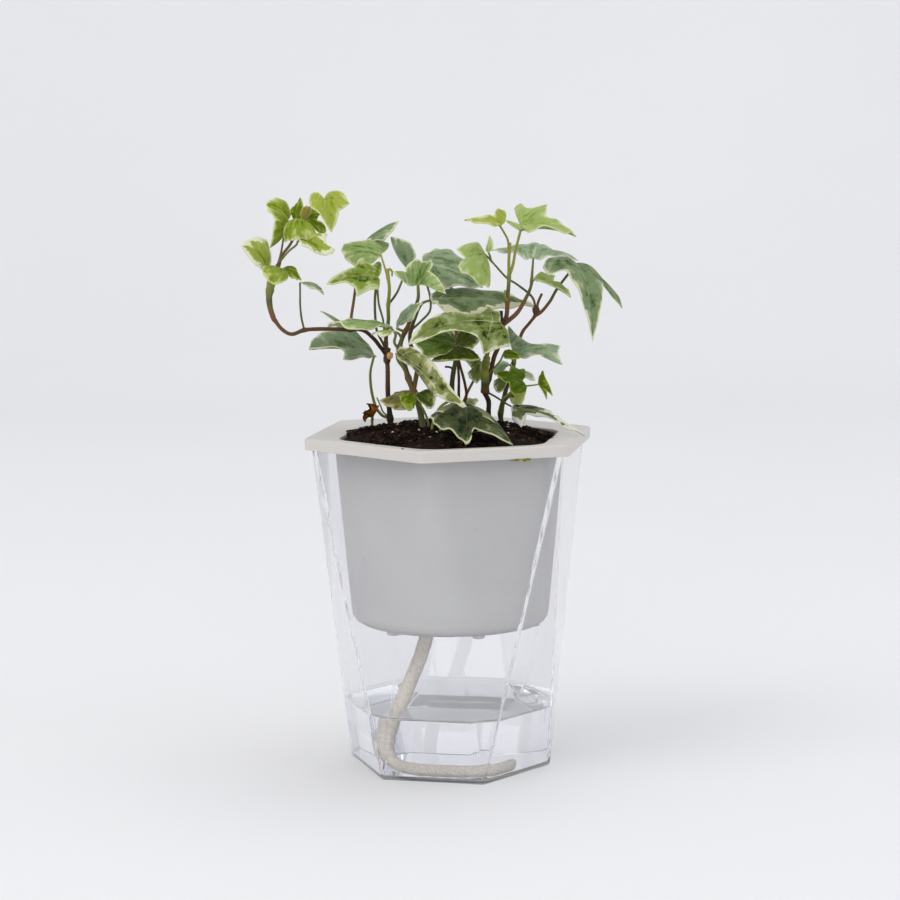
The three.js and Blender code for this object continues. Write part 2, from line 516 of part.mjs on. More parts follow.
// One blade. Its rib runs from base to tip over a crest, given as a point or as a rise off the straight
// line, and the two side lobes reach their own points, so that a leaf can fold along its rib and droop to
// either side. The blade bows a little between rib and lobe.
function makeBlade([base, tip, left, right, crest, cut]) {
  const from = V(...base);
  const to = V(...tip);
  const lobes = [V(...left), V(...right)];
  const along = to.clone().sub(from);
  const face = V(0, 0, 0).crossVectors(lobes[1].clone().sub(lobes[0]), along).normalize();
  const over = Array.isArray(crest)
    ? V(...crest)
    : from.clone().lerp(to, 0.5).addScaledVector(face, crest);
  const start = over.clone().multiplyScalar(4).addScaledVector(from, -3).sub(to);
  const rib = (u) => {
    if (u < 0) return from.clone().addScaledVector(start, u); // straight on behind the base
    return V(0, 0, 0)
      .addScaledVector(from, (1 - u) * (1 - 2 * u))
      .addScaledVector(over, 4 * u * (1 - u))
      .addScaledVector(to, u * (2 * u - 1));
  };
  const bowWay = face.clone().add(V(0, 0, 1)).normalize();
  const outlines = halvesOf(cut);
  const reach = lobes.map((lobe, side) => {
    const [lobeAt] = outlines[side].find(([, v]) => v === 1);
    return lobe.clone().sub(rib(lobeAt));
  });
  const spot = (side, u, v) =>
    rib(u)
      .addScaledVector(reach[side], v)
      .addScaledVector(bowWay, 4 * BOW * v * (1 - v) * reach[side].length());
  const count = outlines[0].length;
  const middle = [from];
  for (let i = 0; i < count; i++) {
    const mean = (outlines[0][i][0] + outlines[1][i][0]) / 2;
    const least = (0.5 * (i + 1)) / (count + 1);
    middle.push(rib(THREE.MathUtils.clamp(mean, least, 1 - (1 - least) * 0.3)));
  }
  middle.push(to);
  const sheet = [...middle];
  const triangles = [];
  const edge = [];
  outlines.forEach((outline, side) => {
    const first = sheet.length;
    outline.forEach(([u, v]) => sheet.push(spot(side, u, v)));
    const outer = (i) => (i === 0 ? 0 : i === count + 1 ? count + 1 : first + i - 1);
    edge.push(outer);
    for (let i = 0; i <= count; i++) {
      const corners = [i, i + 1, outer(i + 1), outer(i)];
      const turn = (a, b, c) => triangles.push(side === 1 ? [a, b, c] : [a, c, b]);
      if (i < count) turn(corners[0], corners[1], corners[2]);
      if (i > 0) turn(corners[0], corners[2], corners[3]);
    }
  });
  return slab(sheet, triangles, edge, count);
}

// A sheet of triangles given its thickness: the same triangles above and below, joined round the edge.
function slab(sheet, triangles, edge, count) {
  const normals = sheet.map(() => V(0, 0, 0));
  for (const [a, b, c] of triangles) {
    const across = sheet[b].clone().sub(sheet[a]);
    const area = across.cross(sheet[c].clone().sub(sheet[a]));
    for (const i of [a, b, c]) normals[i].add(area);
  }
  normals.forEach((normal) => normal.normalize().multiplyScalar(BLADE / 2));
  const above = sheet.map((at, i) => at.clone().add(normals[i]));
  const below = sheet.map((at, i) => at.clone().sub(normals[i]));
  const n = sheet.length;
  const all = triangles.map(([a, b, c]) => [a, b, c]);
  for (const [a, b, c] of triangles) all.push([n + a, n + c, n + b]);
  edge.forEach((outer, side) => {
    for (let i = 0; i <= count; i++) {
      const a = outer(i);
      const b = outer(i + 1);
      const wall = [[a, b, n + b], [a, n + b, n + a]];
      for (const [p, q, r] of wall) all.push(side === 1 ? [p, q, r] : [p, r, q]);
    }
  });
  return solid(closedGeometry([...above, ...below], all));
}

function makeKnot(at) {
  const ball = new THREE.OctahedronGeometry(KNOT_R);
  ball.translate(...at);
  return solid(ball);
}

// A leafy stem: bars for the wood and the leafstalks, and a blade and a knot for each leaf.
function makeLeafyStem({ wood, leaves }) {
  const bodies = wood.map(([radius, path]) => {
    const points = path.map((at) => V(...at));
    if (points[0].z < ROOTED_BELOW) {
      const { x, y } = points[0];
      points.unshift(V(x, y, SOIL_TOP - ROOT_DEPTH), V(x, y, SOIL_TOP - ROOT_DEPTH / 2));
    }
    const { sides, span } = radius < STALK_R ? STALK : STEM;
    return bar(points, radius, sides, span);
  });
  for (const leaf of leaves) bodies.push(makeBlade(leaf), makeKnot(leaf[0]));
  return union(bodies);
}

// For each leafy stem: its wood as [radius, points], and its leaves as
// [base, tip, left lobe, right lobe, crest, cut], left and right as seen from above the leaf with its
// tip pointing away.
const LEAFY_STEMS = {
  ivy_left: {
    wood: [
      [0.95, [[-24, 22, 133], [-24.5, 20, 140], [-25, 18, 147], [-25, 15, 158], [-25.5, 14, 162.5],
        [-25.5, 12, 169], [-24.5, 11, 176.5], [-24.5, 9, 182], [-24, 8, 189.5], [-24.5, 8.5, 193.5],
        [-25, 9, 197]]],
      [0.83, [[-25.5, 14, 162.5], [-28, 11, 166], [-30, 8, 169], [-34.5, 4, 173], [-40.5, 1, 173.5],
        [-47, -2, 174], [-56.5, -6, 174], [-62, -8, 172.5], [-65.5, -9, 174.5], [-69, -9, 179]]],
      [1.25, [[-68.5, -9, 178], [-70, -8.5, 182.5], [-70.5, -8, 186.5], [-70, -8, 190.5],
        [-69.5, -7.5, 193]]],
      [0.58, [[-67, -6, 198.5], [-65.5, -5, 203], [-62.5, -4, 207], [-60, -4, 212], [-60, -3, 217]]],
      [0.5, [[-66.5, -6, 200.5], [-62.5, -8, 205], [-59.5, -9, 207.5], [-59, -9, 209]]],
      [0.5, [[-67, -6, 199.5], [-66, -3, 204], [-65, 0, 210.5], [-63.5, 2, 216.5]]],
      [0.5, [[-70, -8, 189.5], [-70, -10, 194], [-71.5, -11, 197.5]]],
      [0.5, [[-68, -7, 195.5], [-65.5, -9, 197], [-64.5, -10.5, 197.5]]],
      [0.5, [[-57, -6, 174], [-58, -6, 178.5], [-58.5, -6, 183.5], [-58.5, -6, 188],
        [-58.5, -6, 192.5]]],
      [0.6, [[-39, 1.5, 173.5], [-39, 2, 177.5], [-38, 4, 184.5], [-37.5, 8, 189], [-37, 16, 196],
        [-35, 20, 203], [-33.5, 20, 207.5]]],
      [0.56, [[-25.5, 13.5, 164], [-27, 9, 168], [-29, 5, 173], [-29.5, 3, 179], [-29.5, 2, 186.5],
        [-28.5, 2, 194]]],
      [0.5, [[-25.5, 13, 167], [-26, 9, 171], [-26.5, 6, 177], [-28, 4, 183], [-28.5, 2.5, 188.5],
        [-28.5, 2, 194]]],
      [0.53, [[-24.5, 9, 183], [-23.5, 9.5, 184], [-21, 10, 187.5], [-19, 12, 192],
        [-16.5, 14, 196.5]]],
      [0.65, [[-24.5, 21.5, 136], [-27, 23.5, 136.5], [-29.5, 25, 139], [-31, 25, 143], [-32, 23, 149],
        [-32, 20, 155], [-30.5, 18, 161.5]]],
      [0.5, [[-24.5, 21.5, 136], [-27, 21, 138.5], [-28, 20.5, 141], [-29.5, 20, 144.5]]],
      [0.5, [[-60, -4, 212], [-57.5, -1, 216], [-54, 0, 219.5], [-49, -1, 224.5]]],
      [0.5, [[-65, 0, 209.5], [-63, 2.5, 213], [-61, 5, 216]]],
      [0.5, [[-60, -3.5, 211.5], [-58, 1, 212], [-56.5, 6, 216.5]]],
      [0.78, [[-69.5, -7.5, 192], [-68.5, -7, 195.5], [-67, -6, 199.5]]],
      [0.5, [[-24.5, 8.5, 193.5], [-25.5, 9, 196.5], [-26.5, 10.5, 199.5], [-27.5, 12, 202.5]]],
      [0.5, [[-24.5, 8.5, 195.5], [-24, 9, 197], [-23, 9.5, 196], [-23, 10, 194]]],
    ],
    leaves: [
      [[-49, -1, 224.5], [-46, -6, 212], [-39, -8, 223.5], [-55, -2, 223.5], 1.5, "l1"],
      [[-63.5, 2, 216.5], [-72, 2, 222.5], [-70, -7, 206], [-68, 6, 225], 2, "l2"],
      [[-61, 5, 216], [-59, 10, 225], [-63, 8, 220], [-57.5, 4, 219], 1, "l3"],
      [[-60, -3, 217], [-61, -12, 209], [-51.5, -10, 211], [-64.5, -9, 211], 2.5, "l4"],
      [[-56.5, 6, 216.5], [-49, 9, 211.5], [-51, 10, 218.5], [-52.5, 5, 212], 1, "l5"],
      [[-59, -9, 209], [-48.5, -17, 203.5], [-47.5, -8, 211.5], [-53.5, -20, 206], 1.5, "l6"],
      [[-71.5, -11, 197.5], [-80.5, -16, 207], [-74.5, -22, 200], [-71.5, -6, 209], 2, "l7"],
      [[-64.5, -10.5, 197.5], [-72.5, -21, 198.5], [-64, -24, 193.5], [-69, -12, 198.5], 1.5, "l8"],
      [[-65, -10, 198], [-57.5, -15, 194], [-61, -6, 198.5], [-61, -17, 195], 1, "l8b"],
      [[-58.5, -6, 192.5], [-49.5, -2, 187.5], [-51.5, 0, 190.5], [-54, -9, 190.5], 1, "l3b"],
      [[-33.5, 20, 207.5], [-20.5, 24, 215], [-27.5, 25, 211], [-26, 16, 208], 1, "l9"],
      [[-27.5, 12, 202.5], [-43, 10, 204], [-36, 4, 198], [-29, 26, 208], 1.5, "l10"],
      [[-28.5, 2, 194], [-48, -10, 192], [-36, -15, 188], [-34, 6, 201], 2.5, "l11"],
      [[-16.5, 14, 196.5], [-23.5, 20, 209], [-21.5, 22, 203.5], [-14, 10, 204], 1.5, "l12"],
      [[-30.5, 18, 161.5], [-56, 7, 165], [-42, -3, 162], [-52.5, 26, 178.5], 2, "cleft"],
    ],
  },
  ivy_centre: {
    wood: [
      [1.03, [[-10, -6, 132.5], [-11, -4, 137.5], [-12, -1, 142.5], [-14.5, 2, 149], [-16.5, 4, 154],
        [-18, 5, 159], [-20, 6, 164.5], [-19, 5, 169.5], [-16.5, 3, 175], [-14.5, 1, 180.5],
        [-12.5, -2, 186], [-12.5, -4, 191.5]]],
      [0.73, [[-14.5, 2, 149], [-13.5, 5, 154], [-13, 8, 158.5], [-15, 10, 164.5], [-16, 10, 170],
        [-14, 8, 177], [-11, 5, 183.5], [-7.5, 3, 185]]],
      [0.53, [[-15.5, 9.5, 172.5], [-11.5, 12, 176], [-8, 14, 180], [-8, 15, 185.5], [-9.5, 16, 191.5],
        [-10.5, 16, 199]]],
      [0.6, [[-20, 6, 165], [-22, 5, 168], [-21.5, 4, 171.5], [-23, 3, 173.5]]],
      [0.6, [[-20, 6, 166], [-19, 2, 169], [-20, -2, 172], [-21.5, -4, 173]]],
      [0.6, [[-17.5, 4, 172.5], [-19, 2.5, 173], [-21, 1, 174]]],
      [0.65, [[-16.5, 4, 154], [-18.5, 1, 158.5], [-20.5, -1, 161.5], [-21, -2, 164.5]]],
      [0.6, [[-14, 1, 147], [-14.5, -2, 146.5], [-14.5, -4, 148.5]]],
      [0.6, [[-14, 1.5, 147.5], [-13, -2, 148.5], [-13, -3, 148.5]]],
      [0.6, [[-14, 1.5, 147.5], [-16.5, 4, 147], [-13.5, 8, 147]]],
      [0.5, [[-8.5, -8.5, 131.5], [-8.5, -8.5, 137.5], [-10, -5, 141.5], [-12.5, 0, 145]]],
    ],
    leaves: [
      [[-12.5, -4, 191.5], [-7.5, 5, 200.5], [-22, -12, 197.5], [-1.5, -14, 188.5], 1.5, "l13"],
      [[-10.5, 16, 199], [13, 9, 189.5], [-1.5, 30, 203.5], [-3, 5, 189], 2, "l14"],
      [[-7.5, 3, 185], [33.5, 14, 181.5], [4.5, 22, 187.5], [5.5, -7, 179.5], 2, "narrow"],
      [[-22.5, 3, 173.5], [-47.5, -14, 176], [-35.5, -22, 175], [-33, -2, 177.5], 1.5, "narrow"],
      [[-21.5, -4, 173], [-30.5, -12, 172.5], [-25.5, -17, 172], [-25.5, -7, 173.5], 1, "narrow"],
      [[-21, 1, 174], [-10.5, -8, 184.5], [-18, -2, 181.5], [-14.5, -10, 178.5], 1, "narrow"],
      [[-21, -2, 164.5], [6.5, -36, 147], [-12.5, -10, 166.5], [-6, -27, 150], [-7, -21, 157.5], "l37"],
      [[-14.5, -4, 148.5], [-16.5, -13, 143], [-14, -12, 144], [-20, -8, 148], 1, "l39a"],
      [[-13, -3, 148.5], [-7, -14, 144], [-6.5, -4, 150.5], [-10, -13, 145], 1, "l39b"],
      [[-13.5, 8, 147], [-28, 8, 144.5], [-22, 0, 142], [-19.5, 16, 147], 1, "l47"],
    ],
  },
  ivy_back: {
    wood: [
      [0.95, [[2, 15, 133.5], [1.5, 14, 140], [0.5, 13, 147], [1, 9, 154.5], [2, 6, 160],
        [2, 2, 167.5]]],
      [0.62, [[3, 16, 134], [3.5, 15, 140], [3.5, 14, 146], [3.5, 11, 153.5], [3, 8, 160],
        [2, 4, 166.5]]],
      [0.62, [[2.5, 16, 136], [4.5, 16, 140.5], [6.5, 15, 145.5], [6, 13, 150.5], [4, 9.5, 158.5],
        [3, 6.5, 163], [2, 4, 166.5]]],
      [0.58, [[4.5, 16, 140.5], [7, 15.5, 147], [9.5, 15.5, 152], [12.5, 14, 159.5]]],
      [0.5, [[1, 7.5, 157.5], [-0.5, 8.5, 158], [-2, 8.5, 158]]],
    ],
    leaves: [
      [[2, 2, 167.5], [-14.5, -4, 169.5], [-5.5, -9, 163.5], [-4, 8, 172.5], 1.5, "l35"],
      [[2.5, 6, 166.5], [12, 2, 170], [4.5, 10, 172.5], [9, -4, 166.5], 1, "l35b"],
      [[2, 4, 166.5], [12, -9, 162.5], [8.5, 0, 165], [-7.5, -4, 161.5], 1.5, "l36"],
      [[12.5, 14, 159.5], [10.5, 7, 151.5], [13.5, 12, 155.5], [7, 8, 155.5], 1, "l45a"],
    ],
  },
  ivy_front: {
    wood: [
      [0.6, [[-7, -12, 132], [-7, -12, 135.5], [-6, -12, 140], [-3.5, -11.5, 144.5], [0, -11, 146.5],
        [4, -10.5, 146.5], [6, -10, 145]]],
      [0.53, [[-4, -14, 132], [-3.5, -14, 137], [-1.5, -13, 140.5], [2, -11.5, 143],
        [5.5, -10.5, 144.5]]],
    ],
    leaves: [
      [[6, -10, 145], [6, -43, 133.5], [24, -38, 133], [-7.5, -27, 143], 3, "l38"],
    ],
  },
  ivy_right: {
    wood: [
      [1.0, [[16, 18, 134.5], [15.5, 16, 139], [15.5, 14, 143.5], [14, 10, 148], [15, 9, 151.5],
        [16, 8, 155], [17.5, 4.5, 162.5], [19, 3, 166.5], [19.5, 1, 172], [20, 0, 176.5],
        [20, 0, 181]]],
      [1.6, [[14, 10, 148], [14, 7, 153], [14, 5, 158], [14.5, 0, 162.5]]],
      [0.82, [[14, 3, 160], [14.5, -1, 163.5], [16, -4.5, 168], [19.5, -8, 177]]],
      [0.8, [[20, 0.5, 175.5], [22, -2, 178.5], [22.5, -4, 186], [23, -5, 193.5], [23, -5, 202],
        [23.5, -5, 208]]],
      [0.5, [[23, -5, 204.5], [22.5, -6, 209], [21, -7, 212], [19.5, -8, 214.5]]],
      [0.6, [[23, -5, 194.5], [24.5, -4.5, 199], [25.5, -4, 204.5], [27.5, -3, 212.5]]],
      [0.76, [[20, 0.5, 175], [23.5, 1, 177.5], [26.5, 3, 180], [30, 6, 185.5], [32, 8, 190],
        [32.5, 9, 195], [33, 10, 201]]],
      [0.55, [[32.5, 8.5, 192], [33, 7.5, 192.5], [33, 6, 193]]],
      [0.5, [[22.5, -4, 185], [21.5, -6, 187], [21.5, -7, 189.5]]],
      [0.5, [[15, 11, 147.5], [18, 10, 146], [22, 9, 143.5], [24.5, 5, 142.5]]],
      [0.45, [[15, 8, 153], [16, 6.5, 156], [18, 5, 158.5], [20, 4, 161], [21, 3, 163.5]]],
    ],
    leaves: [
      [[19.5, -8, 214.5], [5.5, -14, 217], [12, -20, 216], [19, 3, 221], 1, "l20"],
      [[27.5, -3, 212.5], [49, -8, 210.5], [28, 11, 222.5], [33, -18, 214], 2, "l21"],
      [[33, 10, 201], [35.5, 36, 205.5], [16.5, 17, 204], [51, 16, 200], 1.5, "l22"],
      [[33, 6, 193], [47, -11, 187], [40, 10, 194.5], [39, -5, 191.5], 1, "l24"],
      [[19.5, -8, 177], [-16, -27, 170], [13, -22, 166.5], [15, -4, 182.5], [0, -18, 177.5], "l34"],
      [[24.5, 5, 142.5], [52.5, -17, 133.5], [39, 7, 140], [28, -6, 135], 2, "l44"],
      [[21, 3, 163.5], [28, 0, 162.5], [23, 6, 165], [24, -2, 162], 0.6, "l46"],
    ],
  },
  ivy_far_right: {
    wood: [
      [0.88, [[21, 26, 132], [20.5, 24, 138], [21.5, 22, 143], [23, 20, 149.5], [25.5, 18, 158.5],
        [27, 16, 165], [29, 14.5, 171.5], [32, 13, 175.5], [34, 12, 178.5], [35, 11, 183.5],
        [36.5, 11, 187]]],
      [0.64, [[33.5, 12, 178], [36, 11, 179.5], [39.5, 8, 184], [42, 4, 189], [49.5, 0, 199.5]]],
      [0.5, [[34, 12, 179.5], [33, 11, 185], [27, 8.5, 190.5], [22.5, 6, 193.5], [18, 1.5, 198.5],
        [14.5, -2, 202.5], [13.5, -2, 203.5]]],
      [0.5, [[16, -0.5, 201], [15.5, -2.5, 203], [15, -3, 204]]],
      [0.98, [[20.5, 24, 137.5], [21.5, 19, 143], [24, 13, 146.5], [27.5, 9.5, 150], [28.5, 8, 152.5]]],
      [0.5, [[27.5, 9.5, 150], [29.5, 7, 150.5], [32.5, 5, 151], [35, 4, 151.5]]],
      [0.6, [[25.5, 18, 158.5], [25, 14, 161.5], [25, 10, 164.5]]],
      [0.5, [[25, 12.5, 145.5], [26.5, 13.5, 147], [28.5, 14, 149.5]]],
      [0.5, [[23.5, 20, 150], [23, 17.5, 151], [22, 15, 152.5]]],
      [0.45, [[25, 18, 158], [24.5, 19.5, 157.5], [24, 21, 157.5]]],
      [0.4, [[27, 10.5, 149.5], [27.5, 13, 152.5], [28.5, 14, 155.5]]],
    ],
    leaves: [
      [[13.5, -2, 203.5], [14.5, -12, 191], [13, 6, 196.5], [2.5, -9, 205.5], 1.5, "l15"],
      [[15, -3, 204], [15.5, -1, 210.5], [14.5, -2, 207], [17, -3, 207], 0.5, "l16"],
      [[49.5, 0, 199.5], [55, -20, 170.5], [65.5, -5, 187], [36, -8, 198.5], [53.5, -13, 189.5], "l23"],
      [[25, 10, 164.5], [43.5, 0, 167], [23.5, 15, 173.5], [44, -9, 160.5], 1.5, "l40"],
      [[28.5, 8, 152.5], [17.5, 2, 156.5], [25.5, -1, 147.5], [24.5, 14, 158.5], 0.4, "l41"],
      [[35, 4, 151.5], [40.5, 0, 147.5], [37, 9, 156.5], [38, -5, 146.5], 0.5, "l42"],
      [[28.5, 14, 149.5], [26.5, 12, 142], [29.5, 7, 145.5], [24, 15, 146], 1, "l43"],
      [[22, 15, 152.5], [19.5, 9, 147.5], [22, 13, 149.5], [17.5, 12, 152], 0.5, "l45b"],
      [[24, 21, 157.5], [18, 17, 157], [20.5, 14, 155], [21.5, 24, 158.5], 1, "l48"],
      [[28.5, 14, 155.5], [34, 13, 152], [32.5, 17, 154.5], [31, 11, 153], 0.4, "l49"],
    ],
  },
  dry_leaf: {
    wood: [
      [0.6, [[-31.5, 23, 133.5], [-31.5, 22, 135.5], [-31, 20.5, 137.5]]],
    ],
    leaves: [
      [[-31, 20.5, 137.5], [-34, 16, 142], [-34.5, 14, 137.5], [-29.5, 24, 141], 1.5, "three"],
    ],
  },
  ivy_rear: {
    wood: [
      [0.83, [[2.5, 33, 132.5], [1.5, 32, 140], [1, 32, 148.5], [2, 34, 156], [2.5, 37, 164],
        [2.5, 39, 174], [1, 40, 183], [0, 41, 192]]],
      [0.6, [[1, 32, 142], [3, 33, 140], [5.5, 33, 138.5], [8, 33, 138.5]]],
    ],
    leaves: [
      [[2.5, 36.5, 162], [-4.5, 56, 166.5], [-6.5, 42, 161], [6.5, 53, 168], 1.5, "three"],
      [[2.5, 38, 168], [10.5, 58, 170], [2, 57, 172], [14.5, 46, 165], 1.5, "three"],
      [[8, 33, 138.5], [3, 54, 137], [0, 38, 136], [11.5, 48, 140.5], 1.5, "three"],
      [[0, 41, 192], [-4.5, 60, 196.5], [-8.5, 47, 193], [5, 55, 198], 1.5, "three"],
    ],
  },
};

// ---------------------------------------------------------------- the assembly

const FINISH = {
  clear: { color: 0xdfe2ec, roughness: 0.05, metalness: 0, transparent: true, opacity: 0.35 },
  white: { color: 0xebe8e6, roughness: 0.4, metalness: 0 },
  soil: { color: 0x33241b, roughness: 1, metalness: 0 },
  water: { color: 0xe6eef0, roughness: 0.02, metalness: 0, transparent: true, opacity: 0.4 },
  cotton: { color: 0xc4bcb2, roughness: 1, metalness: 0 },
  leaf: { color: 0x7f9c5a, roughness: 0.5, metalness: 0 },
  dryLeaf: { color: 0xa0641e, roughness: 0.9, metalness: 0 },
};

const group = new THREE.Group();

function place(name, body, finish) {
  const mesh = new THREE.Mesh(geometryOf(body), new THREE.MeshStandardMaterial(FINISH[finish]));
  mesh.name = name;
  group.add(mesh);
}

place("outer_vessel", makeVessel(), "clear");
place("inner_pot", makePot(), "white");
place("soil", makeSoil(), "soil");
place("water", makeWater(), "water");
place("wick", bar(WICK_ROUTE, WICK_R, WICK_SIDES, WICK_SPAN), "cotton");
place("wick_in_soil", peg(WICK_HOLE.x, WICK_HOLE.y, WICK_R, POT_BOTTOM, BURIED_WICK_TOP), "cotton");
for (const [name, stem] of Object.entries(LEAFY_STEMS)) {
  place(name, makeLeafyStem(stem), name === "dry_leaf" ? "dryLeaf" : "leaf");
}

export default group;
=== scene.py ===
# %% [markdown]
# # A variegated ivy in a self-watering planter
# The object stands on a table: a clear faceted vessel with a little water, a white pot that hangs in it
# by a wide six-sided flange, a cotton wick between the two, and a small ivy with cream-edged leaves.
# Every length here is a real one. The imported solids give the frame, and each piece below is laid over
# the solid that it stands for.

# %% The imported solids
import math
import random

import bmesh
import bpy
from mathutils import Matrix, Vector, noise


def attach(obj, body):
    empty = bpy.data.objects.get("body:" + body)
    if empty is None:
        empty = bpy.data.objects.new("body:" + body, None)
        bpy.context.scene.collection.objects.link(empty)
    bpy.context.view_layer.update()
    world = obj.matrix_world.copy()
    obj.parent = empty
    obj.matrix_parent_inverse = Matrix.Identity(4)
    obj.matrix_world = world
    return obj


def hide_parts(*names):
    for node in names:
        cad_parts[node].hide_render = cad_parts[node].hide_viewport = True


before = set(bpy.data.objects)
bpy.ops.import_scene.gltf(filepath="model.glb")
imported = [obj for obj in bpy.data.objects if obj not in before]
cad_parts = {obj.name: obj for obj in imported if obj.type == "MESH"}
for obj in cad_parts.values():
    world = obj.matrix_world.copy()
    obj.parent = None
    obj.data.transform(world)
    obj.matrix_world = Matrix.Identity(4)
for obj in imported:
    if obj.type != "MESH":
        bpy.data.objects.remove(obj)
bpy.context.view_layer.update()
MM = 0.001
print("solids:", ", ".join(sorted(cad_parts)))

# %% [markdown]
# ## The camera
# A photographer would stand about a metre away with a short telephoto lens, a little above the rim, so
# that the upright edges stay upright and the soil shows as a thin dark ellipse. A camera placed by an
# aim point, a distance and an angle is easy to read and to change.

# %% Camera
LENS_MM = 100
SENSOR_MM = 36
CAMERA_DISTANCE = 0.99
CAMERA_ABOVE = math.radians(7.6)
AIM = Vector((0, 0, 0.1258))

toward_camera = Vector((0, -math.cos(CAMERA_ABOVE), math.sin(CAMERA_ABOVE)))
camera_data = bpy.data.cameras.new("camera")
camera_data.lens = LENS_MM
camera_data.sensor_width = SENSOR_MM
camera = bpy.data.objects.new("camera", camera_data)
camera.location = AIM + CAMERA_DISTANCE * toward_camera
camera.rotation_euler = (-toward_camera).to_track_quat("-Z", "Y").to_euler()
bpy.context.scene.collection.objects.link(camera)
bpy.context.scene.camera = camera
print("camera at", [round(x, 3) for x in camera.location])

# %% [markdown]
# ## Tools for making pieces
# A piece is a mesh of points and faces, given in millimetres because that is how the real parts are
# measured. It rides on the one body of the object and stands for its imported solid.

# %% Meshes from points and faces
def make_piece(name, points, faces):
    """A new mesh object from points in millimetres and faces of point numbers."""
    mesh = bpy.data.meshes.new(name)
    mesh.from_pydata([Vector(p) * MM for p in points], [], faces)
    mesh.validate()
    mesh.shade_smooth()
    piece = bpy.data.objects.new(name, mesh)
    bpy.context.scene.collection.objects.link(piece)
    return piece


def stand_for(piece, slot, *nodes):
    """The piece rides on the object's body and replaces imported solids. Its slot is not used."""
    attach(piece, "root")
    if nodes:
        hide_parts(*nodes)
    print(piece.name, "has", len(piece.data.polygons), "faces")


def give_number(mesh, name, values):
    """A number kept on each point of a mesh, for its finish to read."""
    layer = mesh.attributes.new(name, "FLOAT", "POINT")
    layer.data.foreach_set("value", values)


def settle(piece):
    """The piece's modifiers become its mesh."""
    graph = bpy.context.evaluated_depsgraph_get()
    settled = bpy.data.meshes.new_from_object(piece.evaluated_get(graph))
    piece.modifiers.clear()
    piece.data = settled


# %% Curves through points
def curve_through(points, step):
    """Points at about even steps along a smooth curve that passes through the given ones."""
    ends = [2 * points[0] - points[1], *points, 2 * points[-1] - points[-2]]
    path = []
    for before, start, end, after in zip(ends, ends[1:], ends[2:], ends[3:]):
        pieces = max(1, round((end - start).length / step))
        knots = [0.0]
        for a, b in ((before, start), (start, end), (end, after)):
            knots.append(knots[-1] + max((b - a).length, 1e-6) ** 0.5)
        for i in range(pieces):
            t = knots[1] + (knots[2] - knots[1]) * i / pieces
            path.append(centripetal_point([before, start, end, after], knots, t))
    path.append(points[-1].copy())
    return path


def centripetal_point(corners, knots, t):
    """The point at t on the centripetal Catmull-Rom curve of four corners."""
    level = list(corners)
    for depth in (1, 2, 3):
        for i in range(4 - depth):
            low, high = knots[i], knots[i + depth]
            if depth == 3:
                low, high = knots[1], knots[2]
            share = (t - low) / (high - low)
            level[i] = level[i].lerp(level[i + 1], share)
    return level[0]


# %% Tubes along a path
def frames_along(path):
    """For each point of a path, two directions across it that never twist suddenly."""
    tangent = (path[1] - path[0]).normalized()
    across = tangent.orthogonal().normalized()
    frames = []
    for i in range(len(path)):
        ahead = path[min(i + 1, len(path) - 1)] - path[max(i - 1, 0)]
        new_tangent = ahead.normalized()
        across = (tangent.rotation_difference(new_tangent) @ across).normalized()
        tangent = new_tangent
        frames.append((across, tangent.cross(across)))
    return frames


def band(rings, count, first=0, inward=False):
    """The four-sided faces between rings of equally many points, numbered ring after ring."""
    faces = []
    for row in range(rings - 1):
        for i in range(count):
            a = first + row * count + i
            b = first + row * count + (i + 1) % count
            faces.append((a, a + count, b + count, b) if inward else (a, b, b + count, a + count))
    return faces


def shifted(faces, first):
    """Faces whose point numbers start at another number, to join them to an earlier mesh."""
    return [tuple(first + n for n in face) for face in faces]


def tube(path, sides, radius_at):
    """Points and faces of a closed tube whose radius is a function of step and angle."""
    points = []
    for step, (centre, (right, up)) in enumerate(zip(path, frames_along(path))):
        for side in range(sides):
            angle = 2 * math.pi * side / sides
            outward = math.cos(angle) * right + math.sin(angle) * up
            points.append(centre + radius_at(step, angle) * outward)
    ends = [tuple(reversed(range(sides))), tuple(range(len(points) - sides, len(points)))]
    return points, band(len(path), sides) + ends


# %% [markdown]
# ## Tools for finishes
# Colours are written as they look on screen, in sRGB hex, and one function turns them to the linear
# values that a shader works in. One small function adds any node with its settings and its links, so
# that each finish reads as a short list of what feeds what.

# %% Colours and nodes
def linear(code):
    """An sRGB hex colour as linear red, green, blue and alpha."""
    channels = [int(code[i : i + 2], 16) / 255 for i in (1, 3, 5)]
    return (*[c / 12.92 if c <= 0.04045 else ((c + 0.055) / 1.055) ** 2.4 for c in channels], 1)


def feed(tree, node, inputs):
    """Each input gets a value, an output to link, or a node, which stands for its first output."""
    for socket, value in inputs.items():
        if isinstance(value, bpy.types.Node):
            value = value.outputs[0]
        if isinstance(value, bpy.types.NodeSocket):
            tree.links.new(value, node.inputs[socket])
        else:
            node.inputs[socket].default_value = value


def add(tree, kind, inputs=None, stops=(), **settings):
    """A node with its settings and its links. Stops are a ramp's (position, sRGB hex) pairs."""
    node = tree.nodes.new(kind)
    for name, value in settings.items():
        setattr(node, name, value)
    feed(tree, node, inputs or {})
    if stops:
        elements = node.color_ramp.elements
        while len(elements) < len(stops):
            elements.new(1)
        for element, (position, code) in zip(elements, stops):
            element.position = position
            element.color = linear(code)
    return node


def start_material(name, **sockets):
    """A named material: its node tree and its shader, with constants set on the shader's sockets."""
    material = bpy.data.materials.new(name)
    material.use_nodes = True
    shader = material.node_tree.nodes["Principled BSDF"]
    for socket, value in sockets.items():
        shader.inputs[socket.replace("_", " ")].default_value = value
    return material, material.node_tree, shader


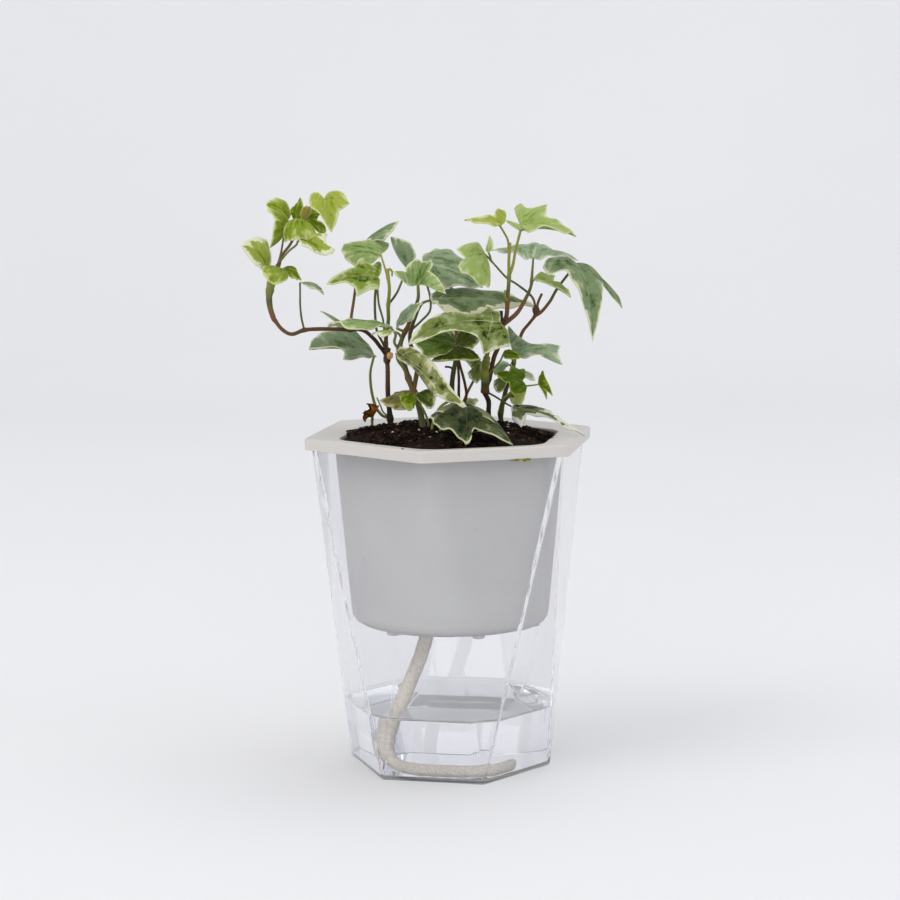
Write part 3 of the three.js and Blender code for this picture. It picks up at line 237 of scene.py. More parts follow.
# %% [markdown]
# ## The wick
# A soft twisted cotton cord, 5 mm thick, hangs from the hole in the pot's floor, bends down through
# the water and lies round the floor of the vessel. A round curve with a bevel would look like wire, so
# the tube is made point by point: three plies wind round each other and the lay is a little uneven.

# %% Wick route and body
WICK_RADIUS = 2.5
WICK_SIDES = 24
WICK_STEP = 0.7
WICK_PLIES = 3
WICK_LAY = 17.0  # length in which a ply goes round once
PLY_DEPTH = 0.11
WICK_LOOSER = 0.4  # the hanging stretch is looser than the one that lies on the floor
WICK_LAID = 6.0
WICK_ROUTE = [
    (-9, -3, 57.4),
    (-9.5, -3.5, 51),
    (-12, -6, 43),
    (-15.5, -9, 35),
    (-19, -12.5, 27),
    (-22, -16, 19.5),
    (-23.4, -19, 12.6),
    (-22.4, -22.4, 7.6),
    (-18.8, -25.6, 5.2),
    (-12.5, -28.3, 4.3),
    (-5, -30.1, 4.2),
    (2.5, -31.0, 4.2),
    (9.5, -30.4, 4.2),
    (15.5, -27.6, 4.2),
    (20, -23.6, 4.2),
    (23, -18.6, 4.2),
]
wick_path = curve_through([Vector(p) for p in WICK_ROUTE], WICK_STEP)
wick_length = sum((b - a).length for a, b in zip(wick_path, wick_path[1:]))


def wick_radius(step, angle):
    """Three plies, a slow swelling of the lay, and a frayed, narrowing cut end."""
    along = wick_length * step / (len(wick_path) - 1)
    ply = abs(math.sin(WICK_PLIES / 2 * (angle - 2 * math.pi * along / WICK_LAY)))
    uneven = noise.noise(Vector((math.cos(angle), math.sin(angle), along * 0.4)))
    to_end = (wick_length - along) / 2.0
    taper = 1 - 0.35 * max(0, 1 - to_end) ** 2
    loose = WICK_LOOSER * min(1, max(0, (wick_path[step].z - WICK_LAID) / 8))
    return (WICK_RADIUS + loose) * taper * (1 - PLY_DEPTH + PLY_DEPTH * ply**0.5 + 0.04 * uneven)


wick_points, wick_faces = tube(wick_path, WICK_SIDES, wick_radius)
wick = make_piece("cotton_wick", wick_points, wick_faces)
stand_for(wick, "cotton", "wick")
print(f"wick: {wick_length:.0f} mm")

# %% [markdown]
# Undyed cotton is a warm off-white that scatters light and never shines. Its yarns are about 0.4 mm
# thick, and they lie along the plies, so the fine pattern is stretched along the cord.

# %% Undyed cotton
COTTON = "#EDE6DB"
COTTON_SHADE = "#CFC5B6"
YARN_MM = 0.4
cotton, tree, shader = start_material(
    "undyed_twisted_cotton",
    Roughness=0.95,
    Specular_IOR_Level=0.2,
)
place = add(tree, "ShaderNodeTexCoord").outputs["Object"]
yarn = add(tree, "ShaderNodeTexNoise", {"Vector": place, "Scale": 1 / (2 * YARN_MM * MM), "Detail": 3.0})
yarn_colour = add(tree, "ShaderNodeValToRGB", {"Fac": yarn}, [(0.3, COTTON_SHADE), (0.62, COTTON)])
fuzz = add(tree, "ShaderNodeBump", {"Height": yarn, "Strength": 0.5, "Distance": 0.15 * MM})
feed(tree, shader, {"Base Color": yarn_colour, "Normal": fuzz})
wick.data.materials.append(cotton)


def finish_solid(node, material):
    """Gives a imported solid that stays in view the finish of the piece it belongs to."""
    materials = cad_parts[node].data.materials
    materials.clear()
    materials.append(material)


finish_solid("wick_in_soil", cotton)
print("cotton yarns of", YARN_MM, "mm")

# %% [markdown]
# ## The clear vessel
# The vessel is a hexagon at the top and a hexagon at the foot, half a side apart, so its wall is twelve
# tall triangles. That is an antiprism. One solid is made for the outside and one for the hollow, every
# edge of both gets the narrow chamfer that a polished mould leaves, and the hollow is taken out of the
# outside. The chamfers matter most: they bend the light into the bright double lines that draw the
# vessel.

# %% Antiprism
TURN = -10.8  # degrees from straight ahead to the flange corner nearest the camera
SIDE_ANGLE = 60
VESSEL_TOP_R = 57.1
VESSEL_BASE_R = 40.6
VESSEL_HEIGHT = 130.6
VESSEL_WALL = 1.5
VESSEL_FLOOR = 1.5
CORNER_STEP = VESSEL_WALL / math.cos(math.radians(SIDE_ANGLE / 2))


def bearing(radius, degrees, z):
    """A point at a bearing from straight ahead, counted towards the right."""
    angle = math.radians(degrees)
    return Vector((radius * math.sin(angle), -radius * math.cos(angle), z))


def antiprism(name, top_r, top_z, base_r, base_z, chamfer):
    """A solid between two hexagons half a side apart, with a chamfer on every edge."""
    points = [bearing(top_r, TURN + SIDE_ANGLE * i, top_z) for i in range(6)]
    points += [bearing(base_r, TURN + SIDE_ANGLE * (i - 0.5), base_z) for i in range(6)]
    faces = [tuple(range(6)), tuple(reversed(range(6, 12)))]
    for i in range(6):
        after = (i + 1) % 6
        faces += [(i, 6 + i, 6 + after), (i, 6 + after, after)]
    piece = make_piece(name, points, faces)
    shape = bmesh.new()
    shape.from_mesh(piece.data)
    bmesh.ops.recalc_face_normals(shape, faces=shape.faces)
    bmesh.ops.bevel(
        shape,
        geom=shape.edges[:],
        offset=chamfer * MM,
        offset_type="OFFSET",
        segments=1,
        profile=0.5,
        affect="EDGES",
    )
    shape.to_mesh(piece.data)
    shape.free()
    return piece


# %% Vessel
OUTER_CHAMFER = 0.4
INNER_CHAMFER = 0.3
vessel = antiprism("clear_vessel", VESSEL_TOP_R, VESSEL_HEIGHT, VESSEL_BASE_R, 0, OUTER_CHAMFER)
slope = (VESSEL_TOP_R - VESSEL_BASE_R) / VESSEL_HEIGHT
OVERRUN = 4  # the hollow runs on above the rim, so that the cut leaves the top open
hollow = antiprism(
    "hollow",
    VESSEL_TOP_R - CORNER_STEP + OVERRUN * slope,
    VESSEL_HEIGHT + OVERRUN,
    VESSEL_BASE_R - CORNER_STEP,
    VESSEL_FLOOR,
    INNER_CHAMFER,
)


def cut(piece, tool):
    """Cuts a tool's form out of a piece and removes the tool."""
    knife = piece.modifiers.new("cut", "BOOLEAN")
    knife.operation = "DIFFERENCE"
    knife.solver = "EXACT"
    knife.object = tool
    settle(piece)
    bpy.data.objects.remove(tool)


def smooth_to(piece, degrees):
    """Smooth shading, broken where two faces meet at more than the angle, with flat faces kept flat."""
    piece.data.shade_smooth()
    piece.data.set_sharp_from_angle(angle=math.radians(degrees))
    weighted = piece.modifiers.new("flat faces stay flat", "WEIGHTED_NORMAL")
    weighted.keep_sharp = True


cut(vessel, hollow)
smooth_to(vessel, 5)
stand_for(vessel, "clear_plastic", "outer_vessel")

# %% [markdown]
# Clear polystyrene is hard, colourless and very glossy, with an index of 1.59. Thick edges look faintly
# violet because a trace of blue dye hides the resin's own yellow. It barely dulls what is behind it, and
# it lets the light through to the pot, so it casts no dark shadow of its own.

# %% Clear polystyrene
POLYSTYRENE = "#F8F8FA"
polystyrene, tree, shader = start_material(
    "clear_moulded_polystyrene",
    Roughness=0.02,
    IOR=1.59,
    Transmission_Weight=1.0,
)
place = add(tree, "ShaderNodeTexCoord").outputs["Object"]
FLOW_MM = 14.0  # length of the faint waves that melt leaves as it fills a mould
flow = add(tree, "ShaderNodeTexNoise", {"Vector": place, "Scale": 1 / (FLOW_MM * MM), "Detail": 1.0})
ripple = add(tree, "ShaderNodeBump", {"Height": flow, "Strength": 0.02, "Distance": 0.2 * MM})
feed(tree, shader, {"Base Color": linear(POLYSTYRENE), "Normal": ripple})
vessel.data.materials.append(polystyrene)
vessel.visible_shadow = False
print("vessel wall", VESSEL_WALL, "mm, edges chamfered by", OUTER_CHAMFER, "mm")

# %% [markdown]
# ## The water
# Still water takes the form of the vessel's hollow up to its level. Its surface climbs the walls in a
# small meniscus, and that curved rim is what the eye reads as the waterline. The water is cut out of a
# thick slab by the same antiprism, made a touch wider than the hollow: with no air between water and
# wall there is no silvery film where the two meet.

# %% Water
WATER_LEVEL = 24.5
MENISCUS_RISE = 1.3
MENISCUS_WIDTH = 2.6
WET = 0.12  # how far the water reaches into the wall


def hollow_section(z, grow):
    """The twelve corners of the vessel's hollow at a height, moved out a little."""
    share = (z - VESSEL_FLOOR) / (VESSEL_HEIGHT - VESSEL_FLOOR)
    top = VESSEL_TOP_R - CORNER_STEP + grow
    foot = VESSEL_BASE_R - CORNER_STEP + grow
    corners = []
    for i in range(6):
        low = bearing(foot, TURN + SIDE_ANGLE * (i - 0.5), z)
        for side in (i - 1, i):
            high = bearing(top, TURN + SIDE_ANGLE * side, z)
            corners.append(low.lerp(high, share))
    return corners


def ring_along(corners, each):
    """Evenly many points on each side of a closed outline of corners."""
    ring = []
    for a, b in zip(corners, corners[1:] + corners[:1]):
        ring += [a.lerp(b, k / each) for k in range(each)]
    return ring


WATER_STEPS = 10
outline = ring_along(hollow_section(WATER_LEVEL, WET), WATER_STEPS)
floor_outline = ring_along(hollow_section(VESSEL_FLOOR + 0.05, WET), WATER_STEPS)
SURFACE_RINGS = [0, 0.4, 0.9, 1.5, 2.2, 3.0, 4.5, 8, 14, 22, 30]  # how far in from the wall
points = list(floor_outline)
for inset in SURFACE_RINGS:
    for p in outline:
        reach = math.hypot(p.x, p.y)
        lift = MENISCUS_RISE * max(0, 1 - inset / MENISCUS_WIDTH) ** 2
        share = 1 - inset / reach
        points.append(Vector((p.x * share, p.y * share, WATER_LEVEL + lift)))
count = len(outline)
faces = [tuple(reversed(range(count)))] + band(len(SURFACE_RINGS) + 1, count)
faces.append(tuple(range(len(points) - count, len(points))))
water = make_piece("still_water", points, faces)
water.data.set_sharp_from_angle(angle=math.radians(40))
stand_for(water, "water", "water")

# %% Clear water
WATER = "#FCFDFE"
still_water, tree, shader = start_material(
    "still_clear_water",
    Roughness=0.0,
    IOR=1.333,
    Transmission_Weight=1.0,
)
place = add(tree, "ShaderNodeTexCoord").outputs["Object"]
RIPPLE_MM = 25.0
swell = add(tree, "ShaderNodeTexNoise", {"Vector": place, "Scale": 1 / (RIPPLE_MM * MM), "Detail": 0.0})
calm = add(tree, "ShaderNodeBump", {"Height": swell, "Strength": 0.1, "Distance": 0.3 * MM})
feed(tree, shader, {"Base Color": linear(WATER), "Normal": calm})
water.data.materials.append(still_water)
water.visible_shadow = False
print("water", WATER_LEVEL, "mm deep from the table")

# %% [markdown]
# ## The white pot
# The pot is moulded in one piece: a round floor, walls that turn from round to six-sided on the way up,
# and a flange whose lip hooks over the vessel's rim. It could be turned on an axis if it were round. As
# its section changes with height, it is skinned over rings of rounded hexagons, each given by its
# half-width, its corner radius and its height, from the inside of the floor, over the flange, and down
# to the underside.

# %% Rounded hexagon rings
CORNER_POINTS = 14


def rounded_hexagon(half_width, corner, z):
    """A hexagon with rounded corners, a circle when its corner radius equals its half-width."""
    centre = (half_width - corner) / math.cos(math.radians(SIDE_ANGLE / 2))
    ring = []
    for side in range(6):
        middle = TURN + side * SIDE_ANGLE
        for step in range(CORNER_POINTS):
            turn = (step / (CORNER_POINTS - 1) - 0.5) * SIDE_ANGLE
            ring.append(bearing(centre, middle, z) + bearing(corner, middle + turn, 0))
    return ring


def skin(name, rings):
    """A closed body over rings of equally many points."""
    count = len(rings[0])
    points = [p for ring in rings for p in ring]
    faces = [tuple(range(count))] + band(len(rings), count, inward=True)
    faces.append(tuple(reversed(range(len(points) - count, len(points)))))
    piece = make_piece(name, points, faces)
    shape = bmesh.new()
    shape.from_mesh(piece.data)
    bmesh.ops.recalc_face_normals(shape, faces=shape.faces)
    shape.to_mesh(piece.data)
    shape.free()
    return piece


# %% Pot
FLANGE_HALF = 52.0
FLANGE_TOP = 133.0
LIP_BOTTOM = 128.4
LIP_WALL = 1.6
MOUTH_HALF = 40.5
MOUTH_CORNER = 12.0
MOUTH_TOP = 132.0
POT_BOTTOM = 57.7
POT_WALL = 1.7
POT_FLOOR = 2.0
EDGE = 0.35  # radius of the flange's small edges


def arc_rings(half_width, corner, z, radius, start, end, steps=4):
    """Rings round a small rounded edge, between two angles from level."""
    rings = []
    for k in range(steps + 1):
        angle = math.radians(start + (end - start) * k / steps)
        out = radius * math.cos(angle)
        up = radius * math.sin(angle)
        rings.append(rounded_hexagon(half_width + out, corner + out, z + up))
    return rings


inside = [
    (34.5 - POT_WALL, 34.5 - POT_WALL, POT_BOTTOM + POT_FLOOR),
    (37.2 - POT_WALL, 37.2 - POT_WALL, POT_BOTTOM + POT_FLOOR + 1.6),
    (38.6 - POT_WALL, 38.6 - POT_WALL, POT_BOTTOM + POT_FLOOR + 5),
    (40.4 - POT_WALL, 28.3, 92),
    (41.8 - POT_WALL, 15.3, 122),
    (MOUTH_HALF, MOUTH_CORNER, MOUTH_TOP - 1.0),
]
outside = [
    (42.2, 13, 130.9),
    (42.1, 14, 129),
    (41.8, 17, 122),
    (41.1, 23.5, 107),
    (40.4, 30, 92),
    (39.5, 34.5, 77),
    (38.6, 38.6, 62.7),
    (38.2, 38.2, 60.6),
    (37.2, 37.2, 59.0),
    (35.6, 35.6, 58.0),
    (33.6, 33.6, POT_BOTTOM),
]
flange_edge = FLANGE_HALF - EDGE
pot = skin(
    "white_pot",
    [rounded_hexagon(*ring) for ring in inside]
    + arc_rings(MOUTH_HALF + 0.5, MOUTH_CORNER + 0.5, MOUTH_TOP - 0.5, 0.5, 180, 90)
    + [rounded_hexagon(46.0, 6.5, FLANGE_TOP - 0.52)]
    + arc_rings(FLANGE_HALF - 0.8, 1.9, FLANGE_TOP - 0.8, 0.8, 84, 0)
    + arc_rings(flange_edge, 2.4, LIP_BOTTOM + EDGE, EDGE, 0, -90)
    + arc_rings(FLANGE_HALF - LIP_WALL + EDGE, 1.2, LIP_BOTTOM + EDGE, EDGE, -90, -180)
    + [rounded_hexagon(FLANGE_HALF - LIP_WALL, 0.9, 130.9)]
    + [rounded_hexagon(*ring) for ring in outside],
)
WICK_HOLE = Vector((-9, -3, 0))
WICK_HOLE_R = 3.1


def upright_rod(name, x, y, radius, low, high, sides=32):
    """A plain upright round rod, used as a drill or a peg."""
    rod = [Vector((x, y, z)) for z in (low, high)]
    return make_piece(name, *tube(rod, sides, lambda step, angle: radius))


cut(pot, upright_rod("drill", WICK_HOLE.x, WICK_HOLE.y, WICK_HOLE_R, POT_BOTTOM - 3, POT_BOTTOM + 4))
smooth_to(pot, 40)
stand_for(pot, "white_plastic", "inner_pot")

# %% [markdown]
# Six small pegs stand under the floor. They keep the pot off a table when it is lifted out. Each is
# a short turned form with a rounded foot.

# %% Feet
FOOT_R = 2.4
FOOT_HEIGHT = 1.2
FOOT_RING_R = 33.0
FOOT_SIDES = 20
FOOT_PROFILE = [(FOOT_R, 0.3), (FOOT_R, -0.8), (2.1, -1.08), (1.5, -FOOT_HEIGHT)]
points, faces = [], []
for foot in range(6):
    middle = bearing(FOOT_RING_R, TURN + SIDE_ANGLE * (foot + 0.5), POT_BOTTOM)
    first = len(points)
    for radius, drop in FOOT_PROFILE:
        points += [middle + bearing(radius, 360 * k / FOOT_SIDES, drop) for k in range(FOOT_SIDES)]
    faces += band(len(FOOT_PROFILE), FOOT_SIDES, first)
    faces.append(tuple(reversed(range(first, first + FOOT_SIDES))))
    faces.append(tuple(range(len(points) - FOOT_SIDES, len(points))))
feet = make_piece("pot_feet", points, faces)
feet.data.set_sharp_from_angle(angle=math.radians(50))
stand_for(feet, "white_plastic", "inner_pot")

# %% [markdown]
# White polypropylene is slightly waxy: light goes a little way in before it comes out, so its shadows
# are soft, and the moulded skin is satin with a faint orange-peel. Below the flange's lip the body is
# painted a little cooler and darker, as painted shade for the vessel's wall in front of it.

# %% White polypropylene
WHITE = "#CECAC5"
PAINTED_SHADE_WHITE = "#CBCBC9"  # painted shade: the body behind the vessel's wall is painted a little cooler and darker than the flange
PAINTED_SHADE_WHITE_MOTTLED = "#C7C6C4"
PEEL_MM = 0.9
MOTTLES_PER_M = 60  # a barely visible cloudiness of the resin
polypropylene, tree, shader = start_material(
    "white_moulded_polypropylene",
    Roughness=0.38,
    IOR=1.49,
    Subsurface_Weight=0.15,
    Subsurface_Scale=1.5 * MM,
)
place = add(tree, "ShaderNodeTexCoord").outputs["Object"]
peel = add(tree, "ShaderNodeTexNoise", {"Vector": place, "Scale": 1 / (PEEL_MM * MM), "Detail": 2.0})
mottle = add(
    tree,
    "ShaderNodeTexNoise",
    {"Vector": place, "Scale": MOTTLES_PER_M, "Detail": 2.0},
)
# painted shade: below the lip the body takes the cooler, darker white, and above it the flange keeps the
# plain white
shaded_body_stops = [(0.3, PAINTED_SHADE_WHITE_MOTTLED), (0.7, PAINTED_SHADE_WHITE)]
shaded_body_colour = add(tree, "ShaderNodeValToRGB", {"Fac": mottle}, shaded_body_stops)
height = add(tree, "ShaderNodeSeparateXYZ", {"Vector": place}).outputs["Z"]
free_of_painted_shade = add(
    tree,
    "ShaderNodeMapRange",
    {"Value": height, 1: (LIP_BOTTOM - 0.9) * MM, 2: (LIP_BOTTOM - 0.2) * MM, 3: 0.0, 4: 1.0},
)
white_with_painted_shade = add(
    tree,
    "ShaderNodeMix",
    {0: free_of_painted_shade, 6: shaded_body_colour, 7: linear(WHITE)},
    data_type="RGBA",
).outputs[2]
skin_bump = add(tree, "ShaderNodeBump", {"Height": peel, "Strength": 0.15, "Distance": 0.05 * MM})
feed(tree, shader, {"Base Color": white_with_painted_shade, "Normal": skin_bump})
for piece in (pot, feet):
    piece.data.materials.append(polypropylene)
print("pot finished in", polypropylene.name)

# %% [markdown]
# ## The soil
# Fresh peat-based potting mix is a heap of soft dark crumbs with a few grains of white perlite and some
# bark fibres. A flat disc with a bump would show a clean edge against the white rim. So the surface is
# a fine mesh that rises a little in the middle and is lifted by noise of several sizes, and loose crumbs
# of many sizes lie on it.

# %% Soil bed
SOIL_HALF = MOUTH_HALF - 0.3
SOIL_CORNER = MOUTH_CORNER - 0.3
SOIL_EDGE_Z = 131.0
SOIL_TOP = 135.6
SOIL_BASE_Z = 118.0
SOIL_RINGS = 70
CLUMPS = ((7.0, 0.5), (2.2, 0.4), (0.9, 0.28))  # noise size and height, in mm


def soil_height(x, y, out):
    """The soil's surface: a low mound with clumps, calmer at the rim of the pot."""
    mound = SOIL_TOP - (SOIL_TOP - SOIL_EDGE_Z) * out**3
    lumps = sum(h * noise.noise(Vector((x / s, y / s, s))) for s, h in CLUMPS)
    return mound + lumps * (1 - 0.6 * out**6) - 0.35


def outline_reach(x, y):
    """How far out a point lies, as a share of the way to the soil's rounded six-sided outline."""
    angle = math.atan2(x, -y)
    turn = math.radians(TURN)
    half_side = math.radians(SIDE_ANGLE / 2)
    local = (angle - turn + half_side) % (2 * half_side) - half_side
    flat = SOIL_HALF / max(math.cos(local), 0.1)
    corner_dip = 1.6 * max(0, abs(math.degrees(local)) - 20) / 10
    return math.hypot(x, y) / (flat - corner_dip)


soil_outline = rounded_hexagon(SOIL_HALF, SOIL_CORNER, 0)
soil_outline = ring_along(soil_outline, 3)
points = [Vector((0, 0, soil_height(0, 0, 0)))]
for ring in range(1, SOIL_RINGS + 1):
    out = ring / SOIL_RINGS
    for p in soil_outline:
        points.append(Vector((p.x * out, p.y * out, soil_height(p.x * out, p.y * out, out))))
points += [Vector((p.x, p.y, SOIL_BASE_Z)) for p in soil_outline]
count = len(soil_outline)
faces = [(0, 1 + i, 1 + (i + 1) % count) for i in range(count)]
faces += band(SOIL_RINGS + 1, count, first=1, inward=True)
faces.append(tuple(reversed(range(len(points) - count, len(points)))))
bed_points, bed_faces = points, faces
print("soil bed:", len(points), "points")

# %% Crumbs, perlite and fibres
CRUMBS = 4000
PERLITE = 90
FIBRES = 60
FIBRE_STEPS = 6
STREWN_HALF = 46  # half the side of the square that grains are thrown on
STREWN_SHARE = 0.975  # they are kept this far in, as a share of the way to the soil's outline
draw = random.Random(11)


def lump(centre, radius, flatness, chance):
    """Points and faces of one irregular grain."""
    grain = bmesh.new()
    bmesh.ops.create_icosphere(grain, subdivisions=1 if radius < 0.8 else 2, radius=radius)
    turn = Matrix.Rotation(draw.uniform(0, 6.28), 3, "Z") @ Matrix.Rotation(draw.uniform(0, 0.6), 3, "X")
    stretch = Vector((draw.uniform(0.7, 1.35), draw.uniform(0.7, 1.2), flatness))
    grain_points = []
    for v in grain.verts:
        dent = 1 + 0.35 * noise.noise(v.co / radius * 1.3 + Vector((chance * 50, 0, 0)))
        scaled = Vector((v.co.x * stretch.x, v.co.y * stretch.y, v.co.z * stretch.z)) * dent
        grain_points.append(turn @ scaled + centre)
    grain_faces = [tuple(v.index for v in f.verts) for f in grain.faces]
    grain.free()
    return grain_points, grain_faces


def scatter_spot():
    """A random place on the soil, evenly spread and inside its outline."""
    while True:
        x = draw.uniform(-STREWN_HALF, STREWN_HALF)
        y = draw.uniform(-STREWN_HALF, STREWN_HALF)
        if outline_reach(x, y) < STREWN_SHARE:
            return x, y


def scatter(number, smallest, largest, flatness):
    """Grains strewn over the soil: most of them small, a few large."""
    all_points, all_faces, chances = [], [], []
    for _ in range(number):
        x, y = scatter_spot()
        chance = draw.random()
        radius = smallest + (largest - smallest) * chance**2.5
        out = outline_reach(x, y)
        centre = Vector((x, y, soil_height(x, y, out) + radius * 0.25))
        first = len(all_points)
        grain_points, grain_faces = lump(centre, radius, flatness, chance)
        all_points += grain_points
        all_faces += shifted(grain_faces, first)
        chances += [draw.random()] * len(grain_points)
    return all_points, all_faces, chances


def join_meshes(parts):
    """Several (points, faces, chances) as one."""
    points, faces, chances = [], [], []
    for part_points, part_faces, part_chances in parts:
        first = len(points)
        points += part_points
        faces += shifted(part_faces, first)
        chances += part_chances
    return points, faces, chances


def fibre(x, y, length, radius, z):
    """A thin crooked strand of bark lying on the soil."""
    heading = draw.uniform(0, math.pi)
    path = []
    for k in range(FIBRE_STEPS + 1):
        along = (k / FIBRE_STEPS - 0.5) * length
        bend = Vector((noise.noise(Vector((x, y, k * 0.6))), noise.noise(Vector((y, x, k * 0.6))), 0))
        at = Vector((x + along * math.cos(heading), y + along * math.sin(heading), z)) + bend
        at.z = z + 0.35 * abs(bend.x) + 0.15
        path.append(at)

    def thickness(step, angle):
        return radius * (1 - 0.4 * abs(2 * step / FIBRE_STEPS - 1))

    strand_points, strand_faces = tube(path, 6, thickness)
    return strand_points, strand_faces, [draw.random()] * len(strand_points)


strands = []
for _ in range(FIBRES):
    x, y = scatter_spot()
    height = soil_height(x, y, outline_reach(x, y))
    strands.append(fibre(x, y, draw.uniform(2, 6), draw.uniform(0.12, 0.26), height))
peat_parts = [(bed_points, bed_faces, [0.5] * len(bed_points)), scatter(CRUMBS, 0.28, 1.15, 0.75)]
points, faces, chances = join_meshes(peat_parts + strands)
peat = make_piece("peat_soil", points, faces)
give_number(peat.data, "chance", chances)
stand_for(peat, "potting_soil", "soil")
points, faces, chances = scatter(PERLITE, 0.18, 0.75, 0.85)
perlite = make_piece("perlite_grains", points, faces)
stand_for(perlite, "potting_soil", "soil")

# %% [markdown]
# Moist peat is warm brown on its crumbs, and it is never glossy. Each crumb has its own tone, and the
# colour goes nearly black where the fine bump sinks, as painted shade in the hollows. Perlite is a puffed
# volcanic glass, matt white with a little dust on it.

# %% Moist peat and dusty perlite
CRUMB_MM = 1.1
DUST_MM = 0.5
moist_peat, tree, shader = start_material("moist_peat", Roughness=0.92, Specular_IOR_Level=0.1)
place = add(tree, "ShaderNodeTexCoord").outputs["Object"]
grit = add(tree, "ShaderNodeTexNoise", {"Vector": place, "Scale": 1 / (CRUMB_MM * MM), "Detail": 5.0})
own = add(tree, "ShaderNodeAttribute", attribute_name="chance").outputs["Fac"]
tone = add(tree, "ShaderNodeMath", {0: grit, 1: own, 2: 0.12}, operation="MULTIPLY_ADD")
# painted shade: the noise that raises the bump also picks the colour, so its low places are painted nearly
# black
peat_and_hollow_shade_stops = [(0.12, "#080504"), (0.34, "#160E09"), (0.55, "#33231A"), (0.8, "#74502F")]
peat_colour_with_hollow_shade = add(tree, "ShaderNodeValToRGB", {"Fac": tone}, peat_and_hollow_shade_stops)
crumble = add(tree, "ShaderNodeBump", {"Height": grit, "Strength": 0.8, "Distance": 0.5 * MM})
feed(tree, shader, {"Base Color": peat_colour_with_hollow_shade, "Normal": crumble})
peat.data.materials.append(moist_peat)
finish_solid("soil", moist_peat)

dusty_perlite, tree, shader = start_material("dusty_perlite", Roughness=0.9)
place = add(tree, "ShaderNodeTexCoord").outputs["Object"]
dust = add(tree, "ShaderNodeTexNoise", {"Vector": place, "Scale": 1 / (DUST_MM * MM), "Detail": 2.0})
dust_stops = [(0.35, "#A89C90"), (0.55, "#E9E6E1")]
feed(tree, shader, {"Base Color": add(tree, "ShaderNodeValToRGB", {"Fac": dust}, dust_stops)})
perlite.data.materials.append(dusty_perlite)
print("perlite grains:", PERLITE)

# %% [markdown]
# ## How the ivy grows
# Each leafy stem has its wood and its leaves. A piece of wood is a radius in millimetres, how old it is
# at its two ends (1 is brown bark, 0 is a fresh green leafstalk), and the points that it passes through.
# A leaf is its colouring, the way it is cut, its base, its tip, its left and right lobe tips, and its
# crest: how far the rib arches, or a point that it passes over. Left and right are as seen from above
# the leaf with its tip pointing away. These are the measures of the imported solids.

